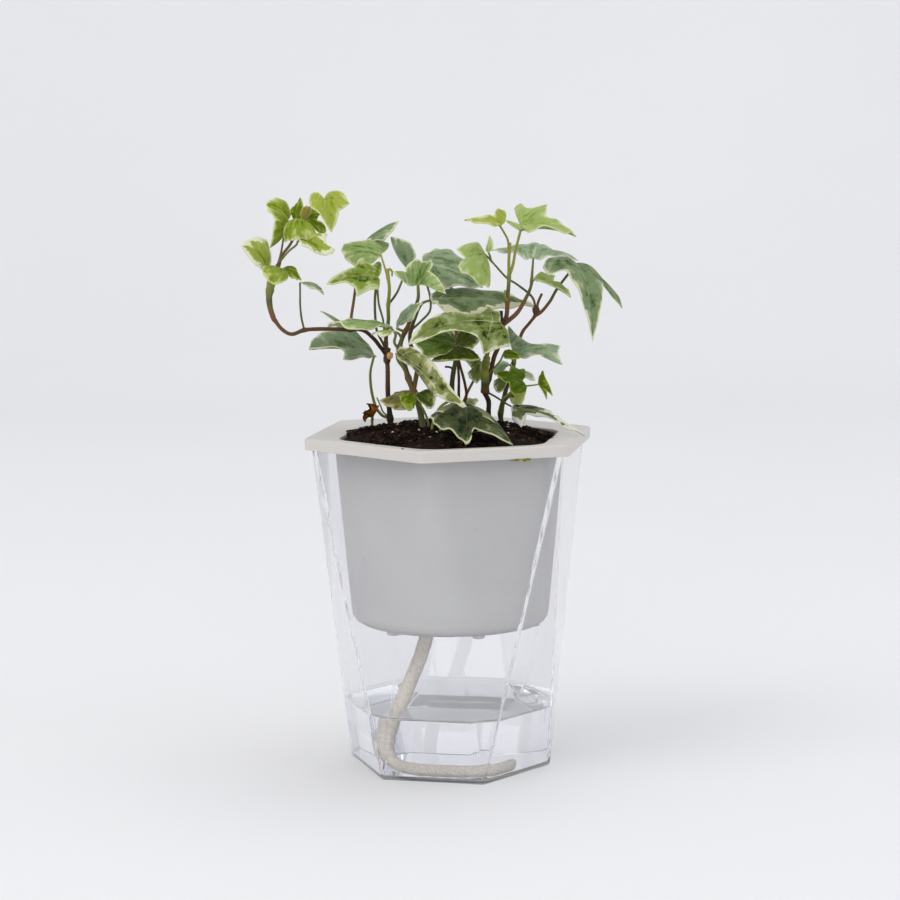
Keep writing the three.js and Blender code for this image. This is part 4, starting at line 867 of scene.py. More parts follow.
# %% Stems and leaves
STEMS = {
    "ivy_left": {
        "wood": [
            ((1.2, 0.6), (1.0, 0.9, 0.72, 0.6, 0.15, 0.05), [(-24, 22, 133), (-24.5, 20, 140),
                (-25, 18, 147), (-25, 15, 158), (-25.5, 14, 162.5), (-25.5, 12, 169),
                (-24.5, 11, 176.5), (-24.5, 9, 182), (-24, 8, 189.5), (-24.5, 8.5, 193.5),
                (-25, 9, 197)]),
            ((0.8, 0.75), (0.85, 0.7), [(-25.5, 14, 162.5), (-28, 11, 166), (-30, 8, 169),
                (-34.5, 4, 173), (-40.5, 1, 173.5), (-47, -2, 174), (-56.5, -6, 174), (-62, -8, 172.5),
                (-65.5, -9, 174.5), (-69, -9, 179)]),
            ((0.95, 1.45), (0.7, 0.5, 0.1), [(-68.5, -9, 178), (-70, -8.5, 182.5), (-70.5, -8, 186.5),
                (-70, -8, 190.5), (-69.5, -7.5, 193)]),
            ((0.6, 0.45), (0.65, 0.5), [(-67, -6, 198.5), (-65.5, -5, 203), (-62.5, -4, 207),
                (-60, -4, 212), (-60, -3, 217)]),
            ((0.45, 0.4), (0.35, 0.2), [(-66.5, -6, 200.5), (-62.5, -8, 205), (-59.5, -9, 207.5),
                (-59, -9, 209)]),
            ((0.45, 0.35), (0.5, 0.3), [(-67, -6, 199.5), (-66, -3, 204), (-65, 0, 210.5),
                (-63.5, 2, 216.5)]),
            ((0.45, 0.35), (0.3, 0.2), [(-70, -8, 189.5), (-70, -10, 194), (-71.5, -11, 197.5)]),
            ((0.4, 0.34), (0.3, 0.2), [(-68, -7, 195.5), (-65.5, -9, 197), (-64.5, -10.5, 197.5)]),
            ((0.42, 0.36), (0.55, 0.4), [(-57, -6, 174), (-58, -6, 178.5), (-58.5, -6, 183.5),
                (-58.5, -6, 188), (-58.5, -6, 192.5)]),
            ((0.6, 0.5), (0.65, 0.5, 0.4), [(-39, 1.5, 173.5), (-39, 2, 177.5), (-38, 4, 184.5),
                (-37.5, 8, 189), (-37, 16, 196), (-35, 20, 203), (-33.5, 20, 207.5)]),
            ((0.52, 0.5), (0.5, 0.45), [(-25.5, 13.5, 164), (-27, 9, 168), (-29, 5, 173),
                (-29.5, 3, 179), (-29.5, 2, 186.5), (-28.5, 2, 194)]),
            ((0.42, 0.42), (0.45, 0.3), [(-25.5, 13, 167), (-26, 9, 171), (-26.5, 6, 177),
                (-28, 4, 183), (-28.5, 2.5, 188.5), (-28.5, 2, 194)]),
            ((0.5, 0.45), (0.55, 0.2), [(-24.5, 9, 183), (-23.5, 9.5, 184), (-21, 10, 187.5),
                (-19, 12, 192), (-16.5, 14, 196.5)]),
            ((0.7, 0.5), (0.4, 0.25, 0.25), [(-24.5, 21.5, 136), (-27, 23.5, 136.5), (-29.5, 25, 139),
                (-31, 25, 143), (-32, 23, 149), (-32, 20, 155), (-30.5, 18, 161.5)]),
            ((0.4, 0.3), (0.3, 0.1), [(-24.5, 21.5, 136), (-27, 21, 138.5), (-28, 20.5, 141),
                (-29.5, 20, 144.5)]),
            ((0.5, 0.42), (0.35, 0.2), [(-60, -4, 212), (-57.5, -1, 216), (-54, 0, 219.5),
                (-49, -1, 224.5)]),
            ((0.5, 0.42), (0.35, 0.2), [(-65, 0, 209.5), (-63, 2.5, 213), (-61, 5, 216)]),
            ((0.5, 0.42), (0.35, 0.2), [(-60, -3.5, 211.5), (-58, 1, 212), (-56.5, 6, 216.5)]),
            ((0.85, 0.6), (0.6, 0.62), [(-69.5, -7.5, 192), (-68.5, -7, 195.5), (-67, -6, 199.5)]),
            ((0.45, 0.34), (0.1, 0.0), [(-24.5, 8.5, 193.5), (-25.5, 9, 196.5), (-26.5, 10.5, 199.5),
                (-27.5, 12, 202.5)]),
            ((0.5, 0.36), (0.05, 0.0), [(-24.5, 8.5, 195.5), (-24, 9, 197), (-23, 9.5, 196),
                (-23, 10, 194)]),
        ],
        "leaves": [
            ("sunny", "l1", (-49, -1, 224.5), (-46, -6, 212), (-39, -8, 223.5), (-55, -2, 223.5), 1.5),
            ("bright", "l2", (-63.5, 2, 216.5), (-72, 2, 222.5), (-70, -7, 206), (-68, 6, 225), 2),
            ("deep", "l3", (-61, 5, 216), (-59, 10, 225), (-63, 8, 220), (-57.5, 4, 219), 1),
            ("bright", "l4", (-60, -3, 217), (-61, -12, 209), (-51.5, -10, 211), (-64.5, -9, 211), 2.5),
            ("deep", "l5", (-56.5, 6, 216.5), (-49, 9, 211.5), (-51, 10, 218.5), (-52.5, 5, 212), 1),
            ("cream", "l6", (-59, -9, 209), (-48.5, -17, 203.5), (-47.5, -8, 211.5), (-53.5, -20, 206),
             1.5),
            ("cream", "l7", (-71.5, -11, 197.5), (-80.5, -16, 207), (-74.5, -22, 200),
             (-71.5, -6, 209), 2),
            ("bright", "l8", (-64.5, -10.5, 197.5), (-72.5, -21, 198.5), (-64, -24, 193.5),
             (-69, -12, 198.5), 1.5),
            ("deep", "l8b", (-65, -10, 198), (-57.5, -15, 194), (-61, -6, 198.5), (-61, -17, 195), 1),
            ("grey", "l3b", (-58.5, -6, 192.5), (-49.5, -2, 187.5), (-51.5, 0, 190.5),
             (-54, -9, 190.5), 1),
            ("grey_painted_shade", "l9", (-33.5, 20, 207.5), (-20.5, 24, 215), (-27.5, 25, 211), (-26, 16, 208), 1),
            ("mixed", "l10", (-27.5, 12, 202.5), (-43, 10, 204), (-36, 4, 198), (-29, 26, 208), 1.5),
            ("lively", "l11", (-28.5, 2, 194), (-48, -10, 192), (-36, -15, 188), (-34, 6, 201), 2.5),
            ("grey", "l12", (-16.5, 14, 196.5), (-23.5, 20, 209), (-21.5, 22, 203.5), (-14, 10, 204),
             1.5),
            ("grey", "cleft", (-30.5, 18, 161.5), (-56, 7, 165), (-42, -3, 162), (-52.5, 26, 178.5), 2),
            ("young", "narrow", (-57.5, 0, 216), (-57, 3, 221.5), (-58.5, 1, 219.5), (-54.5, 4, 220),
             0.5),
        ],
    },
    "ivy_centre": {
        "wood": [
            ((1.5, 0.6), (0.45, 0.5, 0.57, 0.58, 0.62, 0.6, 0.3), [(-10, -6, 132.5), (-11, -4, 137.5),
                (-12, -1, 142.5), (-14.5, 2, 149), (-16.5, 4, 154), (-18, 5, 159), (-20, 6, 164.5),
                (-19, 5, 169.5), (-16.5, 3, 175), (-14.5, 1, 180.5), (-12.5, -2, 186),
                (-12.5, -4, 191.5)]),
            ((1.05, 0.5), (0.58, 0.57, 0.55, 0.3), [(-14.5, 2, 149), (-13.5, 5, 154), (-13, 8, 158.5),
                (-15, 10, 164.5), (-16, 10, 170), (-14, 8, 177), (-11, 5, 183.5), (-7.5, 3, 185)]),
            ((0.5, 0.45), (0.4, 0.3), [(-15.5, 9.5, 172.5), (-11.5, 12, 176), (-8, 14, 180),
                (-8, 15, 185.5), (-9.5, 16, 191.5), (-10.5, 16, 199)]),
            ((0.6, 0.51), (0.35, 0.2), [(-20, 6, 165), (-22, 5, 168), (-21.5, 4, 171.5),
                (-23, 3, 173.5)]),
            ((0.6, 0.51), (0.35, 0.2), [(-20, 6, 166), (-19, 2, 169), (-20, -2, 172),
                (-21.5, -4, 173)]),
            ((0.6, 0.51), (0.35, 0.2), [(-17.5, 4, 172.5), (-19, 2.5, 173), (-21, 1, 174)]),
            ((0.65, 0.55), (0.35, 0.2), [(-16.5, 4, 154), (-18.5, 1, 158.5), (-20.5, -1, 161.5),
                (-21, -2, 164.5)]),
            ((0.6, 0.51), (0.35, 0.2), [(-14, 1, 147), (-14.5, -2, 146.5), (-14.5, -4, 148.5)]),
            ((0.6, 0.51), (0.35, 0.2), [(-14, 1.5, 147.5), (-13, -2, 148.5), (-13, -3, 148.5)]),
            ((0.6, 0.51), (0.35, 0.2), [(-14, 1.5, 147.5), (-16.5, 4, 147), (-13.5, 8, 147)]),
            ((0.45, 0.45), (0.72, 0.15), [(-8.5, -8.5, 131.5), (-8.5, -8.5, 137.5), (-10, -5, 141.5),
                (-12.5, 0, 145)]),
        ],
        "leaves": [
            ("mixed", "l13", (-12.5, -4, 191.5), (-7.5, 5, 200.5), (-22, -12, 197.5),
             (-1.5, -14, 188.5), 1.5),
            ("grey", "l14", (-10.5, 16, 199), (13, 9, 189.5), (-1.5, 30, 203.5), (-3, 5, 189), 2),
            ("creamedge", "narrow", (-7.5, 3, 185), (33.5, 14, 181.5), (4.5, 22, 187.5),
             (5.5, -7, 179.5), 2),
            ("mixed", "narrow", (-22.5, 3, 173.5), (-47.5, -14, 176), (-35.5, -22, 175),
             (-33, -2, 177.5), 1.5),
            ("cream", "narrow", (-21.5, -4, 173), (-30.5, -12, 172.5), (-25.5, -17, 172),
             (-25.5, -7, 173.5), 1),
            ("grey", "narrow", (-21, 1, 174), (-10.5, -8, 184.5), (-18, -2, 181.5),
             (-14.5, -10, 178.5), 1),
            ("pale", "l37", (-21, -2, 164.5), (6.5, -36, 147), (-12.5, -10, 166.5), (-6, -27, 150),
             (-7, -21, 157.5)),
            ("deep", "l39a", (-14.5, -4, 148.5), (-16.5, -13, 143), (-14, -12, 144), (-20, -8, 148), 1),
            ("green", "l39b", (-13, -3, 148.5), (-7, -14, 144), (-6.5, -4, 150.5), (-10, -13, 145), 1),
            ("olive", "l47", (-13.5, 8, 147), (-28, 8, 144.5), (-22, 0, 142), (-19.5, 16, 147), 1),
        ],
    },
    "ivy_back": {
        "wood": [
            ((1.05, 0.75), (0.52, 0.5, 0.45), [(2, 15, 133.5), (1.5, 14, 140), (0.5, 13, 147),
                (1, 9, 154.5), (2, 6, 160), (2, 2, 167.5)]),
            ((0.65, 0.5), (0.95, 0.6), [(3, 16, 134), (3.5, 15, 140), (3.5, 14, 146), (3.5, 11, 153.5),
                (3, 8, 160), (2, 4, 166.5)]),
            ((0.65, 0.5), (0.7, 0.72), [(2.5, 16, 136), (4.5, 16, 140.5), (6.5, 15, 145.5),
                (6, 13, 150.5), (4, 9.5, 158.5), (3, 6.5, 163), (2, 4, 166.5)]),
            ((0.6, 0.45), (0.3, 0.25), [(4.5, 16, 140.5), (7, 15.5, 147), (9.5, 15.5, 152),
                (12.5, 14, 159.5)]),
            ((0.4, 0.4), (0.95, 0.95), [(1, 7.5, 157.5), (-0.5, 8.5, 158), (-2, 8.5, 158)]),
        ],
        "leaves": [
            ("shaded", "l35", (2, 2, 167.5), (-14.5, -4, 169.5), (-5.5, -9, 163.5), (-4, 8, 172.5),
             1.5),
            ("green", "l35b", (2.5, 6, 166.5), (12, 2, 170), (4.5, 10, 172.5), (9, -4, 166.5), 1),
            ("moss_painted_shade", "l36", (2, 4, 166.5), (12, -9, 162.5), (8.5, 0, 165), (-7.5, -4, 161.5), 1.5),
            ("dark", "l45a", (12.5, 14, 159.5), (10.5, 7, 151.5), (13.5, 12, 155.5), (7, 8, 155.5), 1),
        ],
    },
    "ivy_front": {
        "wood": [
            ((0.6, 0.5), (0.2, 0.15), [(-7, -12, 132), (-7, -12, 135.5), (-6, -12, 140),
                (-3.5, -11.5, 144.5), (0, -11, 146.5), (4, -10.5, 146.5), (6, -10, 145)]),
            ((0.5, 0.45), (0.3, 0.3), [(-4, -14, 132), (-3.5, -14, 137), (-1.5, -13, 140.5),
                (2, -11.5, 143), (5.5, -10.5, 144.5)]),
        ],
        "leaves": [
            ("slate_painted_shade", "l38", (6, -10, 145), (6, -43, 133.5), (24, -38, 133), (-7.5, -27, 143), 3),
        ],
    },
    "ivy_right": {
        "wood": [
            ((1.05, 0.85), (0.97, 0.9, 0.8, 0.78, 0.75, 0.8, 0.97), [(16, 18, 134.5), (15.5, 16, 139),
                (15.5, 14, 143.5), (14, 10, 148), (15, 9, 151.5), (16, 8, 155), (17.5, 4.5, 162.5),
                (19, 3, 166.5), (19.5, 1, 172), (20, 0, 176.5), (20, 0, 181)]),
            ((1.75, 1.35), (0.66, 0.5, 0.1, 0.2, 0.3), [(14, 10, 148), (14, 7, 153), (14, 5, 158),
                (14.5, 0, 162.5)]),
            ((0.95, 0.6), (0.3, 0.25), [(14, 3, 160), (14.5, -1, 163.5), (16, -4.5, 168),
                (19.5, -8, 177)]),
            ((1.0, 0.5), (0.85, 0.65, 0.2, 0.05), [(20, 0.5, 175.5), (22, -2, 178.5), (22.5, -4, 186),
                (23, -5, 193.5), (23, -5, 202), (23.5, -5, 208)]),
            ((0.45, 0.38), (0.15, 0.2), [(23, -5, 204.5), (22.5, -6, 209), (21, -7, 212),
                (19.5, -8, 214.5)]),
            ((0.6, 0.5), (0.1, 0.15), [(23, -5, 194.5), (24.5, -4.5, 199), (25.5, -4, 204.5),
                (27.5, -3, 212.5)]),
            ((1.0, 0.42), (0.72, 0.65, 0.4, 0.25), [(20, 0.5, 175), (23.5, 1, 177.5), (26.5, 3, 180),
                (30, 6, 185.5), (32, 8, 190), (32.5, 9, 195), (33, 10, 201)]),
            ((0.55, 0.47), (0.35, 0.2), [(32.5, 8.5, 192), (33, 7.5, 192.5), (33, 6, 193)]),
            ((0.5, 0.42), (0.35, 0.2), [(22.5, -4, 185), (21.5, -6, 187), (21.5, -7, 189.5)]),
            ((0.4, 0.35), (0.5, 0.5), [(15, 11, 147.5), (18, 10, 146), (22, 9, 143.5),
                (24.5, 5, 142.5)]),
            ((0.45, 0.38), (0.35, 0.2), [(15, 8, 153), (16, 6.5, 156), (18, 5, 158.5), (20, 4, 161),
                (21, 3, 163.5)]),
        ],
        "leaves": [
            ("sunny", "l20", (19.5, -8, 214.5), (5.5, -14, 217), (12, -20, 216), (19, 3, 221), 1),
            ("light", "l21", (27.5, -3, 212.5), (49, -8, 210.5), (28, 11, 222.5), (33, -18, 214), 2),
            ("silver_painted_light", "l22", (33, 10, 201), (35.5, 36, 205.5), (16.5, 17, 204), (51, 16, 200), 1.5),
            ("light", "l24", (33, 6, 193), (47, -11, 187), (40, 10, 194.5), (39, -5, 191.5), 1),
            ("dark", "l34", (19.5, -8, 177), (-16, -27, 170), (13, -22, 166.5), (15, -4, 182.5),
             (0, -18, 177.5)),
            ("washed", "l44", (24.5, 5, 142.5), (52.5, -17, 133.5), (39, 7, 140), (28, -6, 135), 2),
            ("vivid", "l46", (21, 3, 163.5), (28, 0, 162.5), (23, 6, 165), (24, -2, 162), 0.6),
        ],
    },
    "ivy_far_right": {
        "wood": [
            ((1.15, 0.5), (0.42, 0.45, 0.5, 0.55, 0.4, 0.65, 0.7, 0.72), [(21, 26, 132),
                (20.5, 24, 138), (21.5, 22, 143), (23, 20, 149.5), (25.5, 18, 158.5), (27, 16, 165),
                (29, 14.5, 171.5), (32, 13, 175.5), (34, 12, 178.5), (35, 11, 183.5), (36.5, 11, 187)]),
            ((0.7, 0.48), (0.68, 0.5, 0.45), [(33.5, 12, 178), (36, 11, 179.5), (39.5, 8, 184),
                (42, 4, 189), (49.5, 0, 199.5)]),
            ((0.5, 0.38), (0.62, 0.4, 0.25), [(34, 12, 179.5), (33, 11, 185), (27, 8.5, 190.5),
                (22.5, 6, 193.5), (18, 1.5, 198.5), (14.5, -2, 202.5), (13.5, -2, 203.5)]),
            ((0.5, 0.42), (0.35, 0.2), [(16, -0.5, 201), (15.5, -2.5, 203), (15, -3, 204)]),
            ((1.25, 0.6), (0.34, 0.25, 0.12, 0.1), [(20.5, 24, 137.5), (21.5, 19, 143),
                (24, 13, 146.5), (27.5, 9.5, 150), (28.5, 8, 152.5)]),
            ((0.38, 0.3), (0.12, 0.1), [(27.5, 9.5, 150), (29.5, 7, 150.5), (32.5, 5, 151),
                (35, 4, 151.5)]),
            ((0.6, 0.51), (0.35, 0.2), [(25.5, 18, 158.5), (25, 14, 161.5), (25, 10, 164.5)]),
            ((0.5, 0.42), (0.35, 0.2), [(25, 12.5, 145.5), (26.5, 13.5, 147), (28.5, 14, 149.5)]),
            ((0.5, 0.42), (0.35, 0.2), [(23.5, 20, 150), (23, 17.5, 151), (22, 15, 152.5)]),
            ((0.45, 0.38), (0.35, 0.2), [(25, 18, 158), (24.5, 19.5, 157.5), (24, 21, 157.5)]),
            ((0.4, 0.34), (0.35, 0.2), [(27, 10.5, 149.5), (27.5, 13, 152.5), (28.5, 14, 155.5)]),
        ],
        "leaves": [
            ("light", "l15", (13.5, -2, 203.5), (14.5, -12, 191), (13, 6, 196.5), (2.5, -9, 205.5),
             1.5),
            ("light", "l16", (15, -3, 204), (15.5, -1, 210.5), (14.5, -2, 207), (17, -3, 207), 0.5),
            ("grey_painted_shade", "l23", (49.5, 0, 199.5), (55, -20, 170.5), (65.5, -5, 187), (36, -8, 198.5),
             (53.5, -13, 189.5)),
            ("silver_painted_light", "l40", (25, 10, 164.5), (43.5, 0, 167), (23.5, 15, 173.5), (44, -9, 160.5),
             1.5),
            ("vivid", "l41", (28.5, 8, 152.5), (17.5, 2, 156.5), (25.5, -1, 147.5), (24.5, 14, 158.5),
             0.4),
            ("deep", "l42", (35, 4, 151.5), (40.5, 0, 147.5), (37, 9, 156.5), (38, -5, 146.5), 0.5),
            ("lime_painted_light", "l43", (28.5, 14, 149.5), (26.5, 12, 142), (29.5, 7, 145.5), (24, 15, 146), 1),
            ("dark", "l45b", (22, 15, 152.5), (19.5, 9, 147.5), (22, 13, 149.5), (17.5, 12, 152), 0.5),
            ("silver_painted_light", "l48", (24, 21, 157.5), (18, 17, 157), (20.5, 14, 155), (21.5, 24, 158.5), 1),
            ("silver_painted_light", "l49", (28.5, 14, 155.5), (34, 13, 152), (32.5, 17, 154.5), (31, 11, 153), 0.4),
        ],
    },
    "dry_leaf": {
        "wood": [
            ((0.6, 0.51), (0.35, 0.2), [(-31.5, 23, 133.5), (-31.5, 22, 135.5), (-31, 20.5, 137.5)]),
        ],
        "leaves": [
            ("dry", "three", (-31, 20.5, 137), (-33.5, 16, 142.5), (-34.5, 14, 139.5), (-29, 24, 141),
             1.5),
            ("dry", "deep", (-31.5, 20, 138.5), (-34, 16, 135), (-35, 15, 138.5), (-31, 22, 135), 1.2),
        ],
    },
    "ivy_rear": {
        "wood": [
            ((1.0, 0.55), (0.9, 0.7, 0.4), [(2.5, 33, 132.5), (1.5, 32, 140), (1, 32, 148.5),
                (2, 34, 156), (2.5, 37, 164), (2.5, 39, 174), (1, 40, 183), (0, 41, 192)]),
            ((0.6, 0.51), (0.35, 0.2), [(1, 32, 142), (3, 33, 140), (5.5, 33, 138.5), (8, 33, 138.5)]),
        ],
        "leaves": [
            ("dark", "three", (2.5, 36.5, 162), (-4.5, 56, 166.5), (-6.5, 42, 161), (6.5, 53, 168),
             1.5),
            ("dark", "three", (2.5, 38, 168), (10.5, 58, 170), (2, 57, 172), (14.5, 46, 165), 1.5),
            ("dark", "three", (8, 33, 138.5), (3, 54, 137), (0, 38, 136), (11.5, 48, 140.5), 1.5),
            ("dark", "three", (0, 41, 192), (-4.5, 60, 196.5), (-8.5, 47, 193), (5, 55, 198), 1.5),
        ],
    },
}

# %% [markdown]
# ## One leaf
# An ivy leaf is a thin waxy blade with three or five pointed lobes. Its main veins fan out from the base
# of the stalk, one into each lobe, and side veins leave the midrib in pairs. A subdivided plane cut to an
# outline would put its edges across the veins. So each half is a fan of rows that run from the midrib to
# the margin, and a vein is always one of the rows: it can sink a little, and the blade between two veins
# can swell, as it does on the real leaf.

# %% Ways that leaves are cut
# Half outlines in (along the rib, out from it): one along is the tip, one out is the side lobe's tip.
# Each list is a smooth stretch that goes on from the end of the one before, and where two lists meet the
# outline has a point. The base (0, 0) and the tip (1, 0) are put in later.
CUTS = {
    "three": [
        [(-0.05, 0.13), (-0.07, 0.32), (-0.02, 0.58), (0.11, 0.84), (0.28, 1)],
        [(0.31, 0.84), (0.35, 0.65), (0.42, 0.5), (0.53, 0.41), (0.66, 0.33), (0.8, 0.22),
         (0.91, 0.11)],
    ],
    "deep": [
        [(-0.03, 0.15), (-0.03, 0.32), (0.02, 0.58), (0.1, 0.82), (0.2, 1)],
        [(0.21, 0.8), (0.24, 0.62), (0.3, 0.46), (0.38, 0.385), (0.5, 0.34), (0.64, 0.29), (0.78, 0.2),
         (0.9, 0.1)],
    ],
    "narrow": [
        [(0.01, 0.2), (0.05, 0.5), (0.14, 0.76), (0.24, 0.92), (0.34, 1)],
        [(0.44, 0.97), (0.56, 0.86), (0.7, 0.64), (0.84, 0.37), (0.94, 0.15)],
    ],
}

# %% [markdown]
# The plain cuts serve the leaves that are small or hidden. Each leaf that shows has an outline of its
# own, because no two ivy leaves are alike: its left half, then its right half. The names l1 to l49 count
# the visible leaves of the plant.

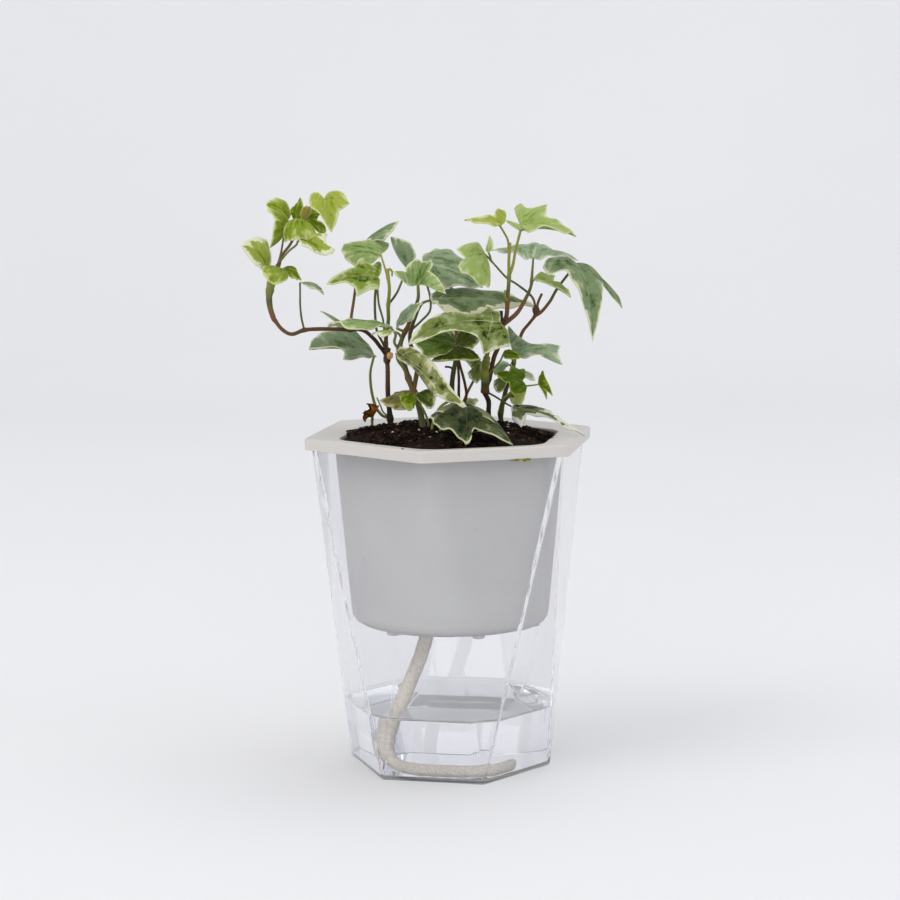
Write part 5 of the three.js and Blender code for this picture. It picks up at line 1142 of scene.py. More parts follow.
# %% Outlines of single leaves
OWN_CUTS = {
    "l1": (
        [[(-0.12, 0.18), (-0.09, 0.5), (0.1, 0.84), (0.41, 1)], [(0.56, 0.72), (0.59, 0.52)],
         [(0.81, 0.34)]],
        [[(-0.17, 0.25), (-0.28, 0.57), (-0.2, 0.89), (0, 1)], [(0.22, 0.89), (0.44, 0.45),
         (0.76, 0.22)]],
    ),
    "l2": (
        [[(-0.13, 0.28), (-0.25, 0.57), (-0.2, 0.81), (-0.07, 1)], [(0.01, 0.88), (0.13, 0.71),
         (0.24, 0.55), (0.34, 0.39)], [(0.51, 0.32), (0.76, 0.26)]],
        [[(0.03, 0.46), (0.27, 0.82), (0.54, 1.1), (0.82, 1)], [(0.91, 0.51), (0.98, 0.25)]],
    ),
    "l3": (
        [[(0.18, 0.49), (0.43, 1)], [(0.62, 0.29), (0.82, -0.01)]],
        [[(0.03, 0.85), (0.26, 1)], [(0.53, 0.84), (0.75, 0.54)]],
    ),
    "l4": (
        [[(0.24, 0.35), (0.39, 0.68), (0.55, 0.89), (0.7, 1)], [(0.91, 0.83), (0.96, 0.57),
         (0.96, 0.27)]],
        [[(0.05, 0.52), (0.1, 0.97), (0.43, 1.07), (0.73, 1)], [(0.95, 0.82), (0.97, 0.45)]],
    ),
    "l5": (
        [[(-0.04, 0.5), (0.08, 1.21), (0.48, 1)], [(0.4, 0.26), (0.66, 0.32), (0.87, 0.23)]],
        [[(0.1, 0.46), (0.32, 0.78), (0.55, 1)], [(0.84, 0.95)]],
    ),
    "l6": (
        [[(0.1, 0.15), (0.23, 0.36), (0.35, 0.69), (0.48, 1)], [(0.75, 0.48), (0.89, 0.4),
         (1.07, 0.53)], [(1.1, 0.36)]],
        [[(0.55, 1.14), (0.79, 1)], [(0.96, 0.77)]],
    ),
    "l7": (
        [[(0.28, 0.81), (0.54, 1)], [(0.77, 0.81), (0.93, 0.57)], []],
        [[(-0.09, 0.37), (0.07, 0.62), (0.25, 0.79), (0.43, 1)], [(0.63, 0.8), (0.78, 0.6),
         (0.91, 0.33), (0.99, 0.15)]],
    ),
    "l8": (
        [[(0.43, 0.81), (0.76, 1)], [(1.03, 0.93), (1.14, 0.68), (1.12, 0.38)]],
        [[(0.08, 0.74), (0.3, 1)], [(0.43, 1.35)]],
    ),
    "l8b": (
        [[(0.01, 0.41), (0.08, 1)], [(0.64, 0.26)]],
        [[(0.51, 1.11), (0.79, 1)], [(0.95, 0.62)]],
    ),
    "l3b": (
        [[(0.21, -0.02), (0.47, 0.12), (0.8, 1)], [(0.93, 0.49)]],
        [[(0.13, 0.87), (0.32, 1)], [(0.59, 0.85), (0.81, 0.37)]],
    ),
    "l9": (
        [[(0.07, 0.1), (0.26, 0.3), (0.52, 1)], [(0.66, 0.17), (0.84, 0.16)]],
        [[(0.14, 0.66), (0.35, 1)], [(0.55, 0.87), (0.8, 0.52)]],
    ),
    "l10": (
        [[(0.09, 0.48), (0.29, 0.83), (0.57, 1)], [(0.76, 0.88), (0.9, 0.62)]],
        [[(-0.22, 0.44), (-0.23, 0.97), (0.01, 1)], [(0.35, 0.41), (0.72, 0.29), (0.94, 0.21)], []],
    ),
    "l11": (
        [[(0.1, 0.49), (0.24, 0.88)], [(0.39, 0.9), (0.69, 1)], [(0.67, 0.75), (0.71, 0.42),
         (0.86, 0.28)]],
        [[(-0.14, 0.33), (-0.36, 1.31)], [(0.01, 0.61), (0.09, 1)], [(0.27, 0.77), (0.4, 0.37),
         (0.69, 0.26), (0.9, 0.12)]],
    ),
    "l12": (
        [[(0.18, 0.7), (0.48, 1.1), (0.71, 1)], [(0.88, 0.8)]],
        [[(-0.02, 0.45), (0.1, 0.88), (0.22, 1)], [(0.46, 1.05), (0.68, 0.69)]],
    ),
    "l13": (
        [[(-0.23, 0.23), (-0.27, 0.49), (-0.26, 0.78), (-0.15, 1)], [(-0.08, 0.72), (-0.09, 0.53)],
         [(0.1, 0.6), (0.3, 0.57), (0.5, 0.44)], [(0.61, 0.2)]],
        [[(-0.07, 0.27), (-0.16, 0.59), (-0.15, 1)], [(0.04, 0.75), (0.24, 0.48), (0.4, 0.12)],
         [(0.63, 0.18)]],
    ),
    "l14": (
        [[(-0.07, 0.2), (-0.03, 0.46), (0.1, 1)], [(0.32, 0.71), (0.48, 0.55), (0.66, 0.26),
         (0.86, 0.06)]],
        [[(0.15, 0.44), (0.34, 0.78), (0.5, 1)], [(0.64, 0.72), (0.81, 0.5), (0.94, 0.25)]],
    ),
    "l15": (
        [[(-0.03, 0.62), (0.03, 1)], [(0.49, 0.65), (0.84, 0.46)]],
        [[(-0.19, -0.04), (-0.34, 0.01), (-0.22, 0.32), (-0.06, 0.66), (0.13, 1)], [(0.31, 0.9),
         (0.42, 0.73)], [(0.49, 0.94), (0.65, 1.04)], [(0.81, 0.94), (0.86, 0.73), (0.97, 0.54),
         (1.04, 0.27)]],
    ),
    "l16": (
        [[(0.21, 1.65), (0.46, 1)], [(0.77, 0.19)]],
        [[(0.18, 0.83), (0.44, 1)], [(0.73, 0.66)]],
    ),
    "l20": (
        [[(0.39, 1.08), (0.5, 1.03), (0.76, 1)], [(0.96, 0.81)]],
        [[(-0.16, 0.19), (-0.31, 0.69)], [(-0.3, 1.08), (-0.15, 1)], [(0.06, 0.53), (0.13, 0.32)],
         [(0.49, 0.16), (0.78, 0.05)]],
    ),
    "l21": (
        [[(-0.1, 0.06), (-0.25, 0.23), (-0.32, 0.36)], [(-0.17, 0.28), (-0.01, 0.15)], [(-0.15, 0.46),
         (-0.22, 0.74), (-0.15, 1)], [(0.04, 0.63), (0.2, 0.6), (0.37, 0.66)], [(0.41, 0.3)],
         [(0.61, 0.22), (0.84, 0.11)]],
        [[(0.29, 1.27), (0.39, 1)], [(0.52, 0.72), (0.71, 0.8), (0.9, 0.86)]],
    ),
    "l22": (
        [[(-0.11, 0.14), (-0.05, 0.28), (0.01, 0.46), (0.04, 0.79), (0.22, 1)], [(0.2, 0.81),
         (0.17, 0.61), (0.32, 0.46), (0.51, 0.18)]],
        [[(-0.05, 0.18), (0.02, 0.31), (0.16, 0.65), (0.28, 1)], [(0.29, 0.73), (0.28, 0.5),
         (0.47, 0.28), (0.63, 0.11)]],
    ),
    "l23": (
        [[(-0.1, 0.38), (-0.04, 0.62), (0.18, 0.79), (0.23, 1), (0.43, 1)], [(0.36, 0.74),
         (0.27, 0.52)], [(0.53, 0.36), (0.73, 0.22), (0.89, 0.08)]],
        [[(-0.09, 0.17), (-0.11, 0.31), (-0.13, 0.46), (-0.09, 0.71), (0.09, 1)], [(0.23, 0.95),
         (0.24, 0.74), (0.25, 0.48)], [(0.38, 0.38), (0.57, 0.28), (0.73, 0.17), (0.92, 0.07)]],
    ),
    "l24": (
        [[(-0.09, 0.35), (-0.22, 0.94), (-0.07, 1), (0.04, 1)], [(0.35, 0.31)], [(0.58, 0.29),
         (0.78, 0.23)]],
        [[(0.29, 1.48), (0.37, 0.87), (0.54, 1)], [(0.69, 0.4), (0.89, 0.33)]],
    ),
    "l37": (
        [[(0, 0.24), (0.09, 0.68), (0.21, 1)], [(0.37, 0.92), (0.55, 0.56), (0.72, 0.22),
         (0.87, 0.08)]],
        [[(0.09, 0.36), (0.22, 0.47), (0.34, 0.34), (0.45, 0.24), (0.57, 0.36), (0.64, 0.58),
         (0.68, 1)], [(0.78, 0.72), (0.91, 0.44)]],
    ),
    "l38": (
        [[(0.12, 0.14), (0.36, 0.26), (0.53, 0.34)], [(0.61, 0.54), (0.73, 0.76), (0.85, 1)],
         [(0.89, 0.74), (0.84, 0.55), (0.79, 0.36), (0.75, 0.21)], [(0.81, 0.11), (0.93, 0.1)]],
        [[(0.12, 0.3), (0.3, 0.52), (0.53, 0.67)], [(0.43, 0.87), (0.48, 1)], [(0.73, 0.9)],
         [(0.81, 0.66), (0.87, 0.33), (0.95, 0.16)]],
    ),
    "l34": (
        [[(0.02, 0.52), (0.07, 0.88)], [(0.18, 0.93), (0.34, 1)], [(0.34, 0.8), (0.35, 0.58),
         (0.39, 0.42), (0.49, 0.33), (0.62, 0.29), (0.81, 0.21)]],
        [[(-0.03, 0.67), (0.03, 1)], [(0.14, 0.45), (0.27, 0.37), (0.41, 0.53), (0.56, 0.6),
         (0.7, 0.57), (0.86, 0.34)]],
    ),
    "l40": (
        [[(-0.08, 0.31), (-0.13, 0.68), (-0.12, 1)], [(0.1, 0.48), (0.3, 0.13), (0.48, 0.06),
         (0.71, 0.07)]],
        [[(0.06, 0.52), (0.17, 0.65), (0.37, 0.58), (0.57, 0.65), (0.69, 0.85), (0.85, 1)],
         [(0.87, 0.51)], []],
    ),
    "l41": (
        [[(-0.13, 0.39)], [(0, 0.75), (0.39, 1)], [(0.54, 0.83), (0.57, 0.51)], [(0.84, 0.42)]],
        [[(-0.14, 0.18), (-0.29, 0.63), (-0.37, 1.1)], [(0, 0.7), (0.18, 1)], [(0.42, 0.26)],
         [(0.75, 0.12)]],
    ),
    "l42": (
        [[(-0.11, 0.29), (-0.15, 1)], [(0.25, 0.49), (0.58, 0.31)]],
        [[(0.38, 0.6), (0.85, 1)], [(0.53, -0.2)], []],
    ),
    "l43": (
        [[(0.28, 0.98), (0.65, 1)], [(1, 0.68)]],
        [[(0.34, 0.42), (0.52, 1)], [(0.92, 0.57)]],
    ),
    "l44": (
        [[(0.06, 0.34), (0.19, 0.65), (0.29, 1)], [(0.61, 0.22), (0.8, 0.15)]],
        [[(0.07, 0.44), (0.17, 0.8), (0.3, 1)], [(0.29, 0.69), (0.27, 0.38)], [(0.41, 0.17),
         (0.56, 0.11), (0.76, 0.18), (0.9, 0.08)]],
    ),
    "l47": (
        [[(0.09, 0.85), (0.3, 1.09), (0.63, 1)], [(0.86, 0.64)]],
        [[(0.09, 0.4), (0.4, 1)], [(0.68, 0.09), (0.84, 0)]],
    ),
    "l39a": (
        [[(0.42, 0.93), (0.83, 1)], [(0.98, 0.59)]],
        [[(0.15, 0.54), (0.43, 1)], [(0.84, 0.52)]],
    ),
    "l39b": (
        [[(0.17, 0.36), (0.23, 1)], [(0.72, 0.62), (0.94, 0.25)]],
        [[(0.45, 1.14), (0.81, 1)], [(0.95, 0.79)]],
    ),
    "l35": (
        [[(0, 0.27), (0.07, 0.45), (0.24, 0.7), (0.39, 0.87), (0.58, 1)], [(0.74, 1), (0.84, 0.91),
         (0.91, 0.57), (0.98, 0.3)]],
        [[(0.05, 0.62), (0.23, 1)], [(0.66, 0.32)]],
    ),
    "l35b": (
        [[(0.01, 0.48), (0.2, 1)], [(0.68, 0.5)]],
        [[(0.37, 0.66), (0.61, 0.92), (0.85, 1)], [(0.99, 0.63)]],
    ),
    "l36": (
        [[(0.18, 0.55), (0.43, 1)], [(0.82, 0.3)]],
        [[(0.35, 0.52), (0.25, 0.8), (0.1, 1)], [(0.35, 0.98), (0.58, 0.78), (0.77, 0.63),
         (0.96, 0.3)]],
    ),
    "l45a": (
        [[(0.13, 0.7), (0.38, 1)], [(0.76, 0.61)]],
        [[(0.02, 0.72), (0.06, 1.43)], [(0.35, 1.08), (0.53, 0.7)], [(0.73, 1)], [(0.88, 0.78),
         (0.98, 0.39)]],
    ),
    "l46": (
        [[(-0.05, 0.48), (0.06, 1)], [(0.61, 0.41)]],
        [[(0.27, 0.94), (0.64, 1)], [(0.93, 0.61)]],
    ),
    "l48": (
        [[(0.43, 1), (0.85, 1)], [(1.02, 0.63)]],
        [[(-0.09, 0.5), (0.05, 1)], [(0.72, 0.14)]],
    ),
    "l45b": (
        [[(0.07, 1.04), (0.4, 1)], [(0.77, 0.66)]],
        [[(0.22, 0.64), (0.47, 1)], [(0.79, 0.8), (1, 0.4)]],
    ),
    "l49": (
        [[(0.26, 0.53), (0.52, 1)], [(0.79, 0.44)]],
        [[(0.29, 0.96), (0.59, 1)], [(0.84, 0.76)]],
    ),
}
print(len(OWN_CUTS), "leaves have an outline of their own")

# %% Rows of a half leaf
FAN_ROWS = 22  # rows from the base, before the last point of the outline
RIB_ROWS = 20  # rows from the rest of the rib
FAN_SHARE = 0.06  # how much of the rib the fan takes
VEIN_EVERY = 5  # rows between side veins


def halves_of(cut):
    """The left and the right half of a cut, as stretches that run from the base to the tip."""
    if cut in OWN_CUTS:
        short_halves = OWN_CUTS[cut]
    elif cut == "cleft":
        short_halves = (CUTS["three"], CUTS["deep"])
    else:
        short_halves = (CUTS[cut], CUTS[cut])
    halves = []
    for half in short_halves:
        stretches = []
        start = (0, 0)
        for stretch in half:
            stretches.append([start, *stretch])
            start = stretches[-1][-1]
        stretches[-1].append((1, 0))
        halves.append(stretches)
    return halves


def stretch_length(stretch):
    """How long a stretch is, corner to corner."""
    return sum(math.dist(a, b) for a, b in zip(stretch, stretch[1:]))


def half_outline(stretches, jitter, seed):
    """Rows of one half: the outline's point, where its row leaves the rib, and how strong its vein is."""
    fan = stretches[:-1]
    total = sum(stretch_length(s) for s in fan)
    steps = [max(2, round(stretch_length(s) / total * FAN_ROWS)) for s in fan]
    steps[steps.index(max(steps))] += FAN_ROWS - sum(steps)
    rows = []
    for number, (stretch, count) in enumerate(zip(stretches, steps + [RIB_ROWS])):
        corners = []
        for k, (u, v) in enumerate(stretch):
            inner = 0 < k < len(stretch) - 1
            shake = jitter * noise.noise(Vector((seed, number * 3.1 + k * 0.9, 0))) if inner else 0
            corners.append(Vector((u + shake, v + shake * 0.6, 0)))
        line = curve_through(corners, 0.001)
        last = number == len(stretches) - 1
        for step in range(count + (1 if last else 0)):
            at = line[round(step / count * (len(line) - 1))]
            share = FAN_SHARE * len(rows) / FAN_ROWS
            if last:
                share = FAN_SHARE + (1 - FAN_SHARE) * (step / count) ** 1.05
            vein = 0.0
            if step == 0 and number > 0:
                before, after = stretches[number - 1][-2], stretch[1]
                here = stretch[0]
                into = (here[0] - before[0], here[1] - before[1])
                out = (after[0] - here[0], after[1] - here[1])
                vein = 1.0 if out[0] * into[1] - out[1] * into[0] > 0 else 0.0  # none into a notch
            elif last and step % VEIN_EVERY == 0 and 0 < step < count - 2:
                vein = 0.5
            rows.append((at.x, at.y, share, vein))
    return rows


# %% Blade
BOW = 0.1  # rise between rib and lobe, as a share of the lobe's reach
ACROSS = 9  # points from the rib to the margin
FULL_LENGTH = 45.0  # a leaf this long has the full relief, and a small one has less
VEIN_DEPTH = 0.22
SWELL = 0.4
WAVE = 0.016  # height of the margin's waves, as a share of the leaf's length
BLADE_MM = 0.42
OWN_JITTER = 0.012  # how far an outline's points stray, so that no two leaves are quite alike
PLAIN_JITTER = 0.03


def arch(base, crest, tip, u):
    """The rib: a smooth curve through base, crest and tip, which runs on straight behind the base."""
    if u < 0:
        return base + (crest * 4 - base * 3 - tip) * u
    return base * (1 - u) * (1 - 2 * u) + crest * 4 * u * (1 - u) + tip * u * (2 * u - 1)


def leaf_sheet(leaf, seed):
    """Points, faces and finish numbers of one leaf, as a sheet with its upper face out."""
    tone, cut, *corners, crest = leaf
    base, tip, left, right = (Vector(p) for p in corners)
    length = (tip - base).length
    relief = length / FULL_LENGTH
    face = (right - left).cross(tip - base).normalized()
    crest = Vector(crest) if isinstance(crest, tuple) else base.lerp(tip, 0.5) + face * crest
    up = (face + Vector((0, 0, 1))).normalized()
    sheet = {"points": [], "faces": [], "margin": [], "vein": [], "ray": []}

    def add_point(spot, lift, margin, vein, u, sideways):
        sheet["points"].append(spot + up * lift)
        sheet["margin"].append(margin)
        sheet["vein"].append(vein)
        angle = math.atan2(sideways, (max(u, -0.2) + 0.4) * length)
        sheet["ray"].append((angle * 3, u * length / 15, seed * 1.7))
        return len(sheet["points"]) - 1

    stretches = halves_of(cut)
    jitter = OWN_JITTER if cut in OWN_CUTS else PLAIN_JITTER
    halves = [half_outline(half, jitter, seed + 7.7 * side) for side, half in enumerate(stretches)]
    last = len(halves[0]) - 1
    rib = []
    for row, (u_out, v_out, u_rib, vein) in enumerate(halves[0]):
        end = row in (0, last)
        spot = arch(base, crest, tip, u_rib)
        room = 0 if end else v_out * (left - base).length * 0.7
        rib.append(add_point(spot, 0 if end else -VEIN_DEPTH * relief, room, 1 - 0.4 * u_rib, u_rib, 0))
    for side, (lobe, rows) in enumerate(zip((left, right), halves)):
        lobe_at = next(u for stretch in stretches[side] for u, v in stretch if v == 1)
        reach = lobe - arch(base, crest, tip, lobe_at)
        before = [rib[0]] * ACROSS
        for row in range(1, last + 1):
            u_out, v_out, u_rib, vein = rows[row]
            here = [rib[row]]
            outer = arch(base, crest, tip, u_out) + reach * v_out
            row_length = (outer - arch(base, crest, tip, u_rib)).length
            for k in range(1, ACROSS):
                if row == last:
                    here.append(rib[last])
                    continue
                w = k / (ACROSS - 1)
                u = u_rib + (u_out - u_rib) * w
                v = v_out * w
                bow = 4 * BOW * v * (1 - v) * reach.length
                wave = math.sin(row * 0.7 + seed * 5.1 + side * 2) * WAVE * length * w**3
                belly = SWELL * relief * 4 * w * (1 - w) * (1 - vein)
                sink = VEIN_DEPTH * relief * vein * (1 - w)
                spot = arch(base, crest, tip, u) + reach * v
                lift = bow + wave + belly - sink
                to_margin = row_length * (1 - w)
                shade = vein * (1 - 0.6 * w)
                sideways = v * reach.length * (1 if side else -1)
                here.append(add_point(spot, lift, to_margin, shade, u, sideways))
            for k in range(ACROSS - 1):
                around = [before[k], before[k + 1], here[k + 1], here[k]]
                corners_of_face = list(dict.fromkeys(around))
                if len(corners_of_face) > 2:
                    sheet["faces"].append(tuple(corners_of_face if side else reversed(corners_of_face)))
            before = here
    return sheet


# %% [markdown]
# ## All leaves of a stem
# The leaves of a stem are one mesh, each finished by its own colouring, and one modifier gives them all
# their thickness. The underside gets the next material, because an ivy leaf is paler and duller below.

# %% Leaf pieces
def make_leaves(stem, leaves, first_seed):
    """All leaves of one stem as one piece, with a pair of materials for each colouring."""
    points, faces, tones = [], [], []
    numbers = {"margin": [], "vein": [], "chance": []}
    rays = []
    for n, leaf in enumerate(leaves):
        seed = first_seed + n * 1.37
        sheet = leaf_sheet(leaf, seed)
        first = len(points)
        points += sheet["points"]
        faces += shifted(sheet["faces"], first)
        tones += [TONES.index(leaf[0])] * len(sheet["faces"])
        numbers["margin"] += sheet["margin"]
        numbers["vein"] += sheet["vein"]
        numbers["chance"] += [abs(math.sin(seed * 12.9))] * len(sheet["points"])
        rays += sheet["ray"]
    name = stem + "_leaves" if stem != "dry_leaf" else "withered_leaf"
    piece = make_piece(name, points, faces)
    for attribute, values in numbers.items():
        give_number(piece.data, attribute, values)
    layer = piece.data.attributes.new("ray", "FLOAT_VECTOR", "POINT")
    layer.data.foreach_set("vector", [c for ray in rays for c in ray])
    used = sorted(set(tones))
    for tone in used:
        piece.data.materials.append(leaf_finish[TONES[tone]])
        piece.data.materials.append(underside_finish[TONES[tone]])
    piece.data.polygons.foreach_set("material_index", [2 * used.index(t) for t in tones])
    thickness = piece.modifiers.new("blade", "SOLIDIFY")
    thickness.thickness = BLADE_MM * MM
    thickness.offset = 0
    thickness.material_offset = 1
    settle(piece)
    piece.data.shade_smooth()
    return piece


# %% [markdown]
# ## Wood and leafstalks
# A stem is thicker where a leaf or a branch leaves it, and a little crooked in section. Each stretch of
# wood is a tube along its own curve, and its radius swells near the start of any other stretch.

# %% Wood pieces
ROOT_SHOWN = 7.0  # length below the soil that is still modelled
NODE_SWELL = 0.3
NODE_REACH = 1.1
WOOD_STEP = 0.8


def along(values, share):
    """A value between evenly spaced ones."""
    place = share * (len(values) - 1)
    k = min(int(place), len(values) - 2)
    return values[k] + (values[k + 1] - values[k]) * (place - k)


def make_wood(stem, wood):
    """All wood of one stem as one piece, with its age on each point."""
    points, faces, ages = [], [], []
    starts = [Vector(path[0]) for _, _, path in wood]
    for n, (radii, tints, path) in enumerate(wood):
        corners = [Vector(p) for p in path]
        if corners[0].z < SOIL_TOP + 1.5:
            corners.insert(0, corners[0] - Vector((0, 0, ROOT_SHOWN)))
        line = curve_through(corners, WOOD_STEP)
        joints = [s for k, s in enumerate(starts) if k != n]
        sides = 12 if radii[0] > 0.7 else 8

        def thickness(step, angle):
            share = step / (len(line) - 1)
            swell = sum(math.exp(-((line[step] - s).length / NODE_REACH) ** 2) for s in joints)
            ridge = noise.noise(Vector((math.cos(angle) * 2, math.sin(angle) * 2, step * 0.12 + n * 9)))
            slow = noise.noise(Vector((n * 3.3, step * 0.25, 0)))
            return along(radii, share) * (1 + NODE_SWELL * min(swell, 1.2) + 0.07 * ridge + 0.06 * slow)

        tube_points, tube_faces = tube(line, sides, thickness)
        first = len(points)
        points += tube_points
        faces += shifted(tube_faces, first)
        for step in range(len(line)):
            ages += [along(tints, step / (len(line) - 1))] * sides
    piece = make_piece(stem + "_wood", points, faces)
    give_number(piece.data, "age", ages)
    piece.data.materials.append(bark)
    return piece


# %% [markdown]
# ## What an ivy leaf's colours are
# A variegated ivy leaf is green where its inner tissue holds chlorophyll and cream where it doesn't. The
# cream lies along the margin and runs inward between veins, the green is in two or three tones with
# edges that follow the veins, and the veins are pale. Young leaves are yellow-green. A wax cuticle
# gives them a soft satin shine. So one function draws that pattern from numbers kept on each leaf, and
# each colouring is a set of tones. Some colourings are only copies of others: the darker ones are painted
# shade, and the lighter ones are painted light.

# %% Waxy variegated leaves
LEAF_TONES = {
    # deep green, second green, pale patches, cream, vein, cream margin in mm
    "grey": ("#5E7546", "#859676", "#ABB795", "#CFD2AE", "#B1BC95", 0.6),
    # a lighter copy of the grey colouring, painted light for leaves that lie in shade
    "silver_painted_light": ("#6E8656", "#95A686", "#BFCAAC", "#D8DABC", "#C2CCAA", 0.6),
    # a darker copy of the grey colouring, painted shade
    "grey_painted_shade": ("#455A30", "#768860", "#9AA682", "#CFD2AE", "#A6B18C", 0.6),
    "mixed": ("#647F37", "#8FA465", "#B9C591", "#D0D4A8", "#C0CB92", 0.7),
    "dark": ("#243600", "#758245", "#9EA97E", "#D0D4AC", "#B3BD90", 0.7),
    # a darker green colouring, painted shade for a leaf in the shadow of others
    "shaded": ("#384A12", "#5E7430", "#8E9A60", "#C6C998", "#8C975B", 0.6),
    # a darker, bluer colouring, painted shade for a leaf under a larger one
    "slate_painted_shade": ("#18240E", "#454D2E", "#7A7E5E", "#C6C9A0", "#7E865C", 0.6),
    # a darker copy of the green colouring, painted shade
    "moss_painted_shade": ("#1E2C08", "#3A4810", "#5E6A24", "#B8BC80", "#6E7A3A", 0.5),
    "green": ("#253607", "#4A5818", "#7A8547", "#C6C998", "#8C975B", 0.6),
    "washed": ("#142205", "#68724B", "#BEC2A3", "#DADACA", "#B2B897", 2.2),
    "pale": ("#36400E", "#80874E", "#CAC89F", "#D6D4B4", "#CCCBA1", 1.2),
    "cream": ("#708516", "#96A447", "#BFC67B", "#D9D9B6", "#C4C988", 2.0),
    "creamedge": ("#56683E", "#74845E", "#98A47E", "#D6D4B6", "#ACB68E", 2.6),
    "bright": ("#597005", "#80922E", "#B0BA6C", "#C8CE8A", "#B0B96A", 0.6),
    "sunny": ("#6C8004", "#9AA741", "#B6BB71", "#CCD092", "#BDC37C", 0.7),
    # a much lighter yellow-green colouring, painted light for a small leaf that lies in shade
    "lime_painted_light": ("#A4B83C", "#D4E07C", "#DCE49C", "#DCE0A8", "#D0D890", 0.5),
    "light": ("#829744", "#9AAD64", "#B2C183", "#CDD2A0", "#BBC78D", 0.5),
    "lively": ("#2C4800", "#7A8E36", "#B4BE88", "#CDD298", "#B0B96A", 0.7),
    "vivid": ("#324800", "#4C6606", "#728420", "#A8B45C", "#8E9F40", 0.35),
    "deep": ("#405403", "#5E7108", "#909E3B", "#A8B460", "#93A047", 0.35),
    "olive": ("#3C3006", "#7A753E", "#ABA474", "#BCBE8A", "#AAA977", 0.5),
    "young": ("#6C7020", "#8C863A", "#A89A50", "#B8B070", "#A8904A", 0.3),
    "dry": ("#4A240A", "#A8641A", "#D8993A", "#33200F", "#8A4A14", 0.8),
}
TONES = list(LEAF_TONES)
DULL_FILM = "#A6AC80"
DRY_FILM = "#7A4C20"
CELL_MM = 1.6  # real cells are too fine to show, so these stand for groups of them


def draw_leaf(tone, under):
    """The finish of one side of a leaf of one colouring."""
    deep, second, patch, cream, vein_colour, margin_mm = LEAF_TONES[tone]
    label = f"{tone}_ivy_leaf_" + ("underside" if under else "wax")
    material, tree, shader = start_material(
        label,
        Roughness=0.65 if under else 0.45,
        IOR=1.4,
        Specular_IOR_Level=0.06,
        Subsurface_Weight=0.15,
        Subsurface_Scale=0.6 * MM,
    )
    shader.inputs["Subsurface Radius"].default_value = (0.8, 1.0, 0.3)
    ray = add(tree, "ShaderNodeAttribute", attribute_name="ray").outputs["Vector"]
    margin = add(tree, "ShaderNodeAttribute", attribute_name="margin").outputs["Fac"]
    vein = add(tree, "ShaderNodeAttribute", attribute_name="vein").outputs["Fac"]
    place = add(tree, "ShaderNodeTexCoord").outputs["Object"]
    # tissue: streaks that follow the veins, broken by fine cells
    streaks = add(
        tree,
        "ShaderNodeTexNoise",
        {"Vector": ray, "Scale": 2.6, "Detail": 3.0, "Roughness": 0.6},
    )
    cells = add(tree, "ShaderNodeTexNoise", {"Vector": place, "Scale": 1 / (CELL_MM * MM), "Detail": 4.0})
    ragged = add(tree, "ShaderNodeMath", {0: cells, 1: 0.26, 2: streaks}, operation="MULTIPLY_ADD")
    near_margin = add(tree, "ShaderNodeMapRange", {"Value": margin, 1: 0.0, 2: 7.0, 3: 0.14, 4: -0.04})
    tissue = add(tree, "ShaderNodeMath", {0: ragged, 1: near_margin}, operation="ADD")
    green_stops = [(0.48, deep), (0.61, second), (0.71, second), (0.86, patch)]
    greens = add(tree, "ShaderNodeValToRGB", {"Fac": tissue}, green_stops)
    # the cream margin: its width changes from streak to streak
    width = add(
        tree,
        "ShaderNodeMapRange",
        {"Value": streaks, 1: 0.36, 2: 0.66, 3: 0.35 * margin_mm, 4: 1.8 * margin_mm},
    )
    inside_margin = add(tree, "ShaderNodeMath", {0: margin, 1: width}, operation="SUBTRACT")
    creamy = add(tree, "ShaderNodeMapRange", {"Value": inside_margin, 1: 0.25, 2: -0.2, 3: 0.0, 4: 1.0})
    vein_line = add(tree, "ShaderNodeMapRange", {"Value": vein, 1: 0.4, 2: 1.0, 3: 0.0, 4: 0.85})
    # the cream goes over the greens, the veins over both, and a dull film over an underside
    layers = [(creamy, cream), (vein_line, vein_colour)]
    if under:
        layers.append((0.45, DRY_FILM if tone == "dry" else DULL_FILM))
    colour = greens
    for share, code in layers:
        over = {0: share, 6: colour, 7: linear(code)}
        colour = add(tree, "ShaderNodeMix", over, data_type="RGBA").outputs[2]
    grain = add(tree, "ShaderNodeBump", {"Height": cells, "Strength": 0.25, "Distance": 0.12 * MM})
    feed(tree, shader, {"Base Color": colour, "Normal": grain})
    return material


leaf_finish = {tone: draw_leaf(tone, False) for tone in TONES}
underside_finish = {tone: draw_leaf(tone, True) for tone in TONES}
print(len(leaf_finish), "leaf colourings")

# %% [markdown]
# Ivy wood has a thin brown bark with fine pale cracks. Leafstalks are smooth and green, and in the light
# they flush red-brown. The youngest ends are yellow-green. Age, kept on each point, picks the colour, and
# a fine noise makes the change patchy. The old-wood browns are darker than the bark alone: partly the
# bark's own colour, and partly painted shade.

# %% Bark and leafstalks
BARK_MM = 0.8
bark, tree, shader = start_material("ivy_bark_and_leafstalks", Roughness=0.55, Specular_IOR_Level=0.3)
place = add(tree, "ShaderNodeTexCoord").outputs["Object"]
age = add(tree, "ShaderNodeAttribute", attribute_name="age").outputs["Fac"]
flecks = add(tree, "ShaderNodeTexNoise", {"Vector": place, "Scale": 1 / (BARK_MM * MM), "Detail": 4.0})
patchy = add(tree, "ShaderNodeMath", {0: flecks, 1: 0.16, 2: age}, operation="MULTIPLY_ADD")
centred = add(tree, "ShaderNodeMath", {0: patchy, 1: 0.08}, operation="SUBTRACT")
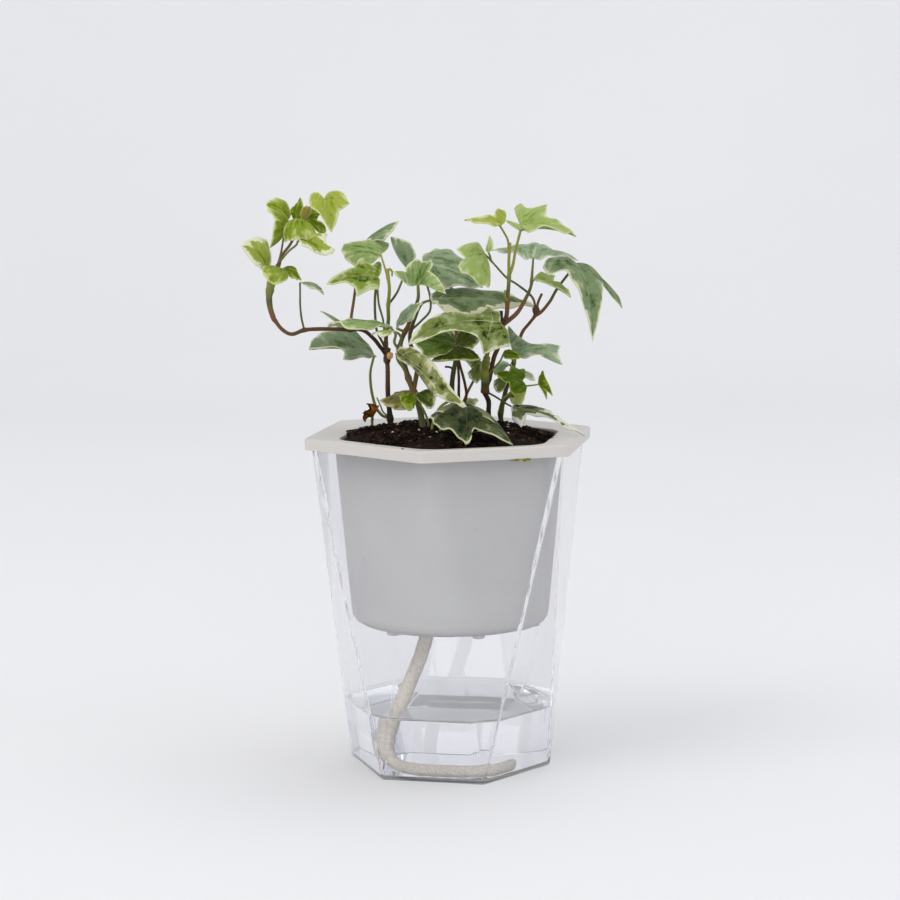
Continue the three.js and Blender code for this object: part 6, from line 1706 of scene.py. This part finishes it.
# the darkest browns for old wood hold painted shade as well as the bark's own colour
BARK_BY_AGE_AND_PAINTED_SHADE = [
    (0.0, "#A8A43E"),
    (0.18, "#83893C"),
    (0.36, "#6E753C"),
    (0.5, "#4E5630"),
    (0.57, "#6C582C"),
    (0.64, "#724C2C"),
    (0.8, "#4C3828"),
    (1.0, "#2A221B"),
]
bark_colour = add(tree, "ShaderNodeValToRGB", {"Fac": centred}, BARK_BY_AGE_AND_PAINTED_SHADE)
cracks = add(tree, "ShaderNodeBump", {"Height": flecks, "Strength": 0.4, "Distance": 0.2 * MM})
feed(tree, shader, {"Base Color": bark_colour, "Normal": cracks})
print("bark flecks of", BARK_MM, "mm")

# %% The ivy's pieces
for number, (stem, parts) in enumerate(STEMS.items()):
    leaves = make_leaves(stem, parts["leaves"], number * 20.3)
    slot = "dry_leaf" if stem == "dry_leaf" else "ivy_leaf"
    stand_for(leaves, slot, stem)
    wood = make_wood(stem, parts["wood"])
    stand_for(wood, slot, stem)

# %% [markdown]
# ## Small things that tell it is real
# Where a leaf was torn off, the stem shows a pale orange scar in a brown collar. Buds swell where twigs
# fork. A crumb of soil and a bit of fibre lie on the white flange, and a scrap of leaf clings under its
# lip. Each is one small irregular grain, set on what carries it.

# %% Scars, buds and scraps
def grains(name, spots, slot, *nodes):
    """One piece of several grains, each a place, three half-lengths and a turn about the vertical."""
    points, faces = [], []
    for place, halves, degrees in spots:
        first = len(points)
        ball = bmesh.new()
        bmesh.ops.create_icosphere(ball, subdivisions=3, radius=1)
        turn = Matrix.Rotation(math.radians(degrees), 3, "Z")
        for v in ball.verts:
            dent = 1 + 0.28 * noise.noise(v.co * 1.7 + Vector(place))
            points.append(turn @ (v.co * dent * Vector(halves)) + Vector(place))
        faces += shifted([[v.index for v in f.verts] for f in ball.faces], first)
        ball.free()
    piece = make_piece(name, points, faces)
    stand_for(piece, slot, *nodes)
    return piece


scar = grains("leaf_scar", [((-23.9, 9.9, 162.4), (1.25, 0.9, 1.5), 0)], "ivy_leaf", "ivy_left")
BUD_SPOTS = [
    ((-25.1, 11.0, 160.6), (1.45, 1.2, 1.7), 0),
    ((-25.0, 11.3, 164.5), (1.3, 1.1, 1.2), 0),
    ((34.2, 11.5, 180.3), (1.5, 1.2, 1.9), 0),
]
buds = grains("swollen_buds", BUD_SPOTS, "ivy_leaf", "ivy_left", "ivy_far_right")
give_number(buds.data, "age", [0.8] * len(buds.data.vertices))
buds.data.materials.append(bark)
crumbs = grains(
    "fallen_crumbs",
    [((-17.8, -51.2, 132.9), (0.55, 0.5, 0.4), 20), ((-30.6, -27.5, 133.0), (0.9, 0.4, 0.3), 35)],
    "potting_soil",
    "soil",
)
crumbs.data.materials.append(moist_peat)
scrap = grains(
    "leaf_scrap",
    [((24.9, -46.5, 128.15), (2.4, 0.35, 0.35), 19), ((29.0, -45.0, 128.05), (1.9, 0.4, 0.6), 19)],
    "ivy_leaf",
    "ivy_right",
)
print("small pieces:", scar.name, buds.name, crumbs.name, scrap.name)

# %% [markdown]
# Fresh inner bark is moist and fibrous, pale orange with darker streaks. A scrap of leaf that has begun to
# wither is olive with yellow patches. Neither shines.

# %% Torn inner bark and withered scrap
FIBRE_MM = 0.5
SCAR_STOPS = [(0.35, "#A8683A"), (0.5, "#E2AE78"), (0.65, "#F0C898")]
SCRAP_STOPS = [(0.4, "#3E4210"), (0.52, "#7C7A2A"), (0.62, "#B8AE52")]
for piece, name, stops in (
    (scar, "torn_inner_bark", SCAR_STOPS),
    (scrap, "withering_leaf_scrap", SCRAP_STOPS),
):
    material, tree, shader = start_material(name, Roughness=0.7, Specular_IOR_Level=0.25)
    place = add(tree, "ShaderNodeTexCoord").outputs["Object"]
    scale = 1 / (FIBRE_MM * MM)
    fibres = add(tree, "ShaderNodeTexNoise", {"Vector": place, "Scale": scale, "Detail": 3.0})
    rough = add(tree, "ShaderNodeBump", {"Height": fibres, "Strength": 0.5, "Distance": 0.2 * MM})
    streaked = add(tree, "ShaderNodeValToRGB", {"Fac": fibres}, stops)
    feed(tree, shader, {"Base Color": streaked, "Normal": rough})
    piece.data.materials.append(material)
print("finished", scar.name, "and", scrap.name)

# %% [markdown]
# Water that has evaporated comes back as a few small droplets on the inside of the front wall.

# %% Droplets
DROPLETS = [
    (10, -45.2, 101.9, 0.3),
    (10.1, -44.8, 98.1, 0.25),
    (19, -40.4, 80, 0.4),
    (24.5, -38.5, 79.6, 0.35),
    (-13.8, -43.1, 68.4, 0.45),
    (-20.6, -43.9, 112.5, 0.25),
    (1.8, -46, 74.4, 0.25),
    (-32.6, -31.2, 87.2, 0.3),
]
spots = [((x, y + 0.15, z), (size, size * 0.6, size * 1.2), TURN + 30) for x, y, z, size in DROPLETS]
droplets = grains("condensed_droplets", spots, "water", "water")
droplets.data.materials.append(still_water)
droplets.visible_shadow = False
print("droplets:", len(DROPLETS))

# %% [markdown]
# ## Floor and light
# The plant stands on a seamless pale sweep: a floor that curves up far behind it, so no horizon shows.
# Product photographs are lit by large soft boxes. Here a key from the upper left models the leaves, a
# weak fill from the right keeps its shadows open, one from above and behind brightens the flange and the
# upper faces of the leaves, and a broad one by the camera lights the pot. The surroundings are pale
# behind the object and a little dimmer behind the camera, and a clear vessel needs that difference to
# show its edges.

# %% Sweep
SWEEP_FRONT = -4000
SWEEP_BACK = 1900
SWEEP_RADIUS = 700
SWEEP_HALF = 4000
SWEEP_HEIGHT = 4000
CURVE_STEPS = 12
curve_start = SWEEP_BACK - SWEEP_RADIUS
profile = [(SWEEP_FRONT, 0), (curve_start, 0)]
for k in range(1, CURVE_STEPS + 1):
    angle = math.radians(90 * k / CURVE_STEPS)
    rise = SWEEP_RADIUS * (1 - math.cos(angle))
    profile.append((curve_start + SWEEP_RADIUS * math.sin(angle), rise))
profile.append((SWEEP_BACK, SWEEP_HEIGHT))
points = [(x, y, z) for x in (-SWEEP_HALF, SWEEP_HALF) for y, z in profile]
count = len(profile)
faces = [(i, i + 1, count + i + 1, count + i) for i in range(count - 1)]
sweep = make_piece("sweep", points, faces)
PAPER_STOPS = [(0.3, "#ECECED"), (0.7, "#EEEEEF")]
TOOTH_PER_M = 3  # a very broad, faint unevenness
paper, tree, shader = start_material("matt_backdrop_paper", Roughness=0.9, Specular_IOR_Level=0.1)
place = add(tree, "ShaderNodeTexCoord").outputs["Object"]
tooth = add(tree, "ShaderNodeTexNoise", {"Vector": place, "Scale": TOOTH_PER_M, "Detail": 2.0})
feed(tree, shader, {"Base Color": add(tree, "ShaderNodeValToRGB", {"Fac": tooth}, PAPER_STOPS)})
sweep.data.materials.append(paper)
print("sweep", (SWEEP_BACK - SWEEP_FRONT) * MM, "m deep")


# %% Lights
def soft_light(name, place, width, power, colour):
    """A square soft light aimed at the plant."""
    data = bpy.data.lights.new(name, "AREA")
    data.shape = "SQUARE"
    data.size = width
    data.energy = power
    data.color = linear(colour)[:3]
    light = bpy.data.objects.new(name, data)
    light.location = place
    light.rotation_euler = (AIM - Vector(place)).to_track_quat("-Z", "Y").to_euler()
    bpy.context.scene.collection.objects.link(light)


soft_light("key", (-1.3, -0.9, 1.9), 1.2, 11.5, "#FFFDFA")
soft_light("fill", (1.6, -0.7, 1.2), 1.4, 3.5, "#F8FAFF")
soft_light("top", (0.6, 0.6, 2.2), 1.6, 8, "#FFFFFF")
soft_light("front", (-0.3, -2.6, 0.6), 2.0, 16.5, "#FCFCFF")

# %% Surroundings
SKY_STOPS = [(0.0, "#DADBDE"), (0.25, "#E2E3E6"), (0.6, "#EEEFF1")]  # from behind the camera to ahead
world = bpy.data.worlds.new("studio")
bpy.context.scene.world = world
world.use_nodes = True
tree = world.node_tree
direction = add(tree, "ShaderNodeTexCoord").outputs["Generated"]
ahead = add(tree, "ShaderNodeSeparateXYZ", {"Vector": direction}).outputs["Y"]
sky = add(tree, "ShaderNodeValToRGB", {"Fac": ahead}, SKY_STOPS)
feed(tree, tree.nodes["Background"], {"Color": sky, "Strength": 0.96})
bpy.context.scene.view_settings.view_transform = "Standard"

# %% [markdown]
# Inside a clear wall light is mirrored again and again before it comes out. Blender gives up after a few
# turns, and the light that is lost that way turns the vessel's edges black. So far more turns than usual
# are allowed here.

# %% Light in clear walls
CROSSINGS = 128
paths = bpy.context.scene.cycles
paths.max_bounces = CROSSINGS
paths.transmission_bounces = CROSSINGS
paths.glossy_bounces = CROSSINGS
print("light may turn", CROSSINGS, "times")
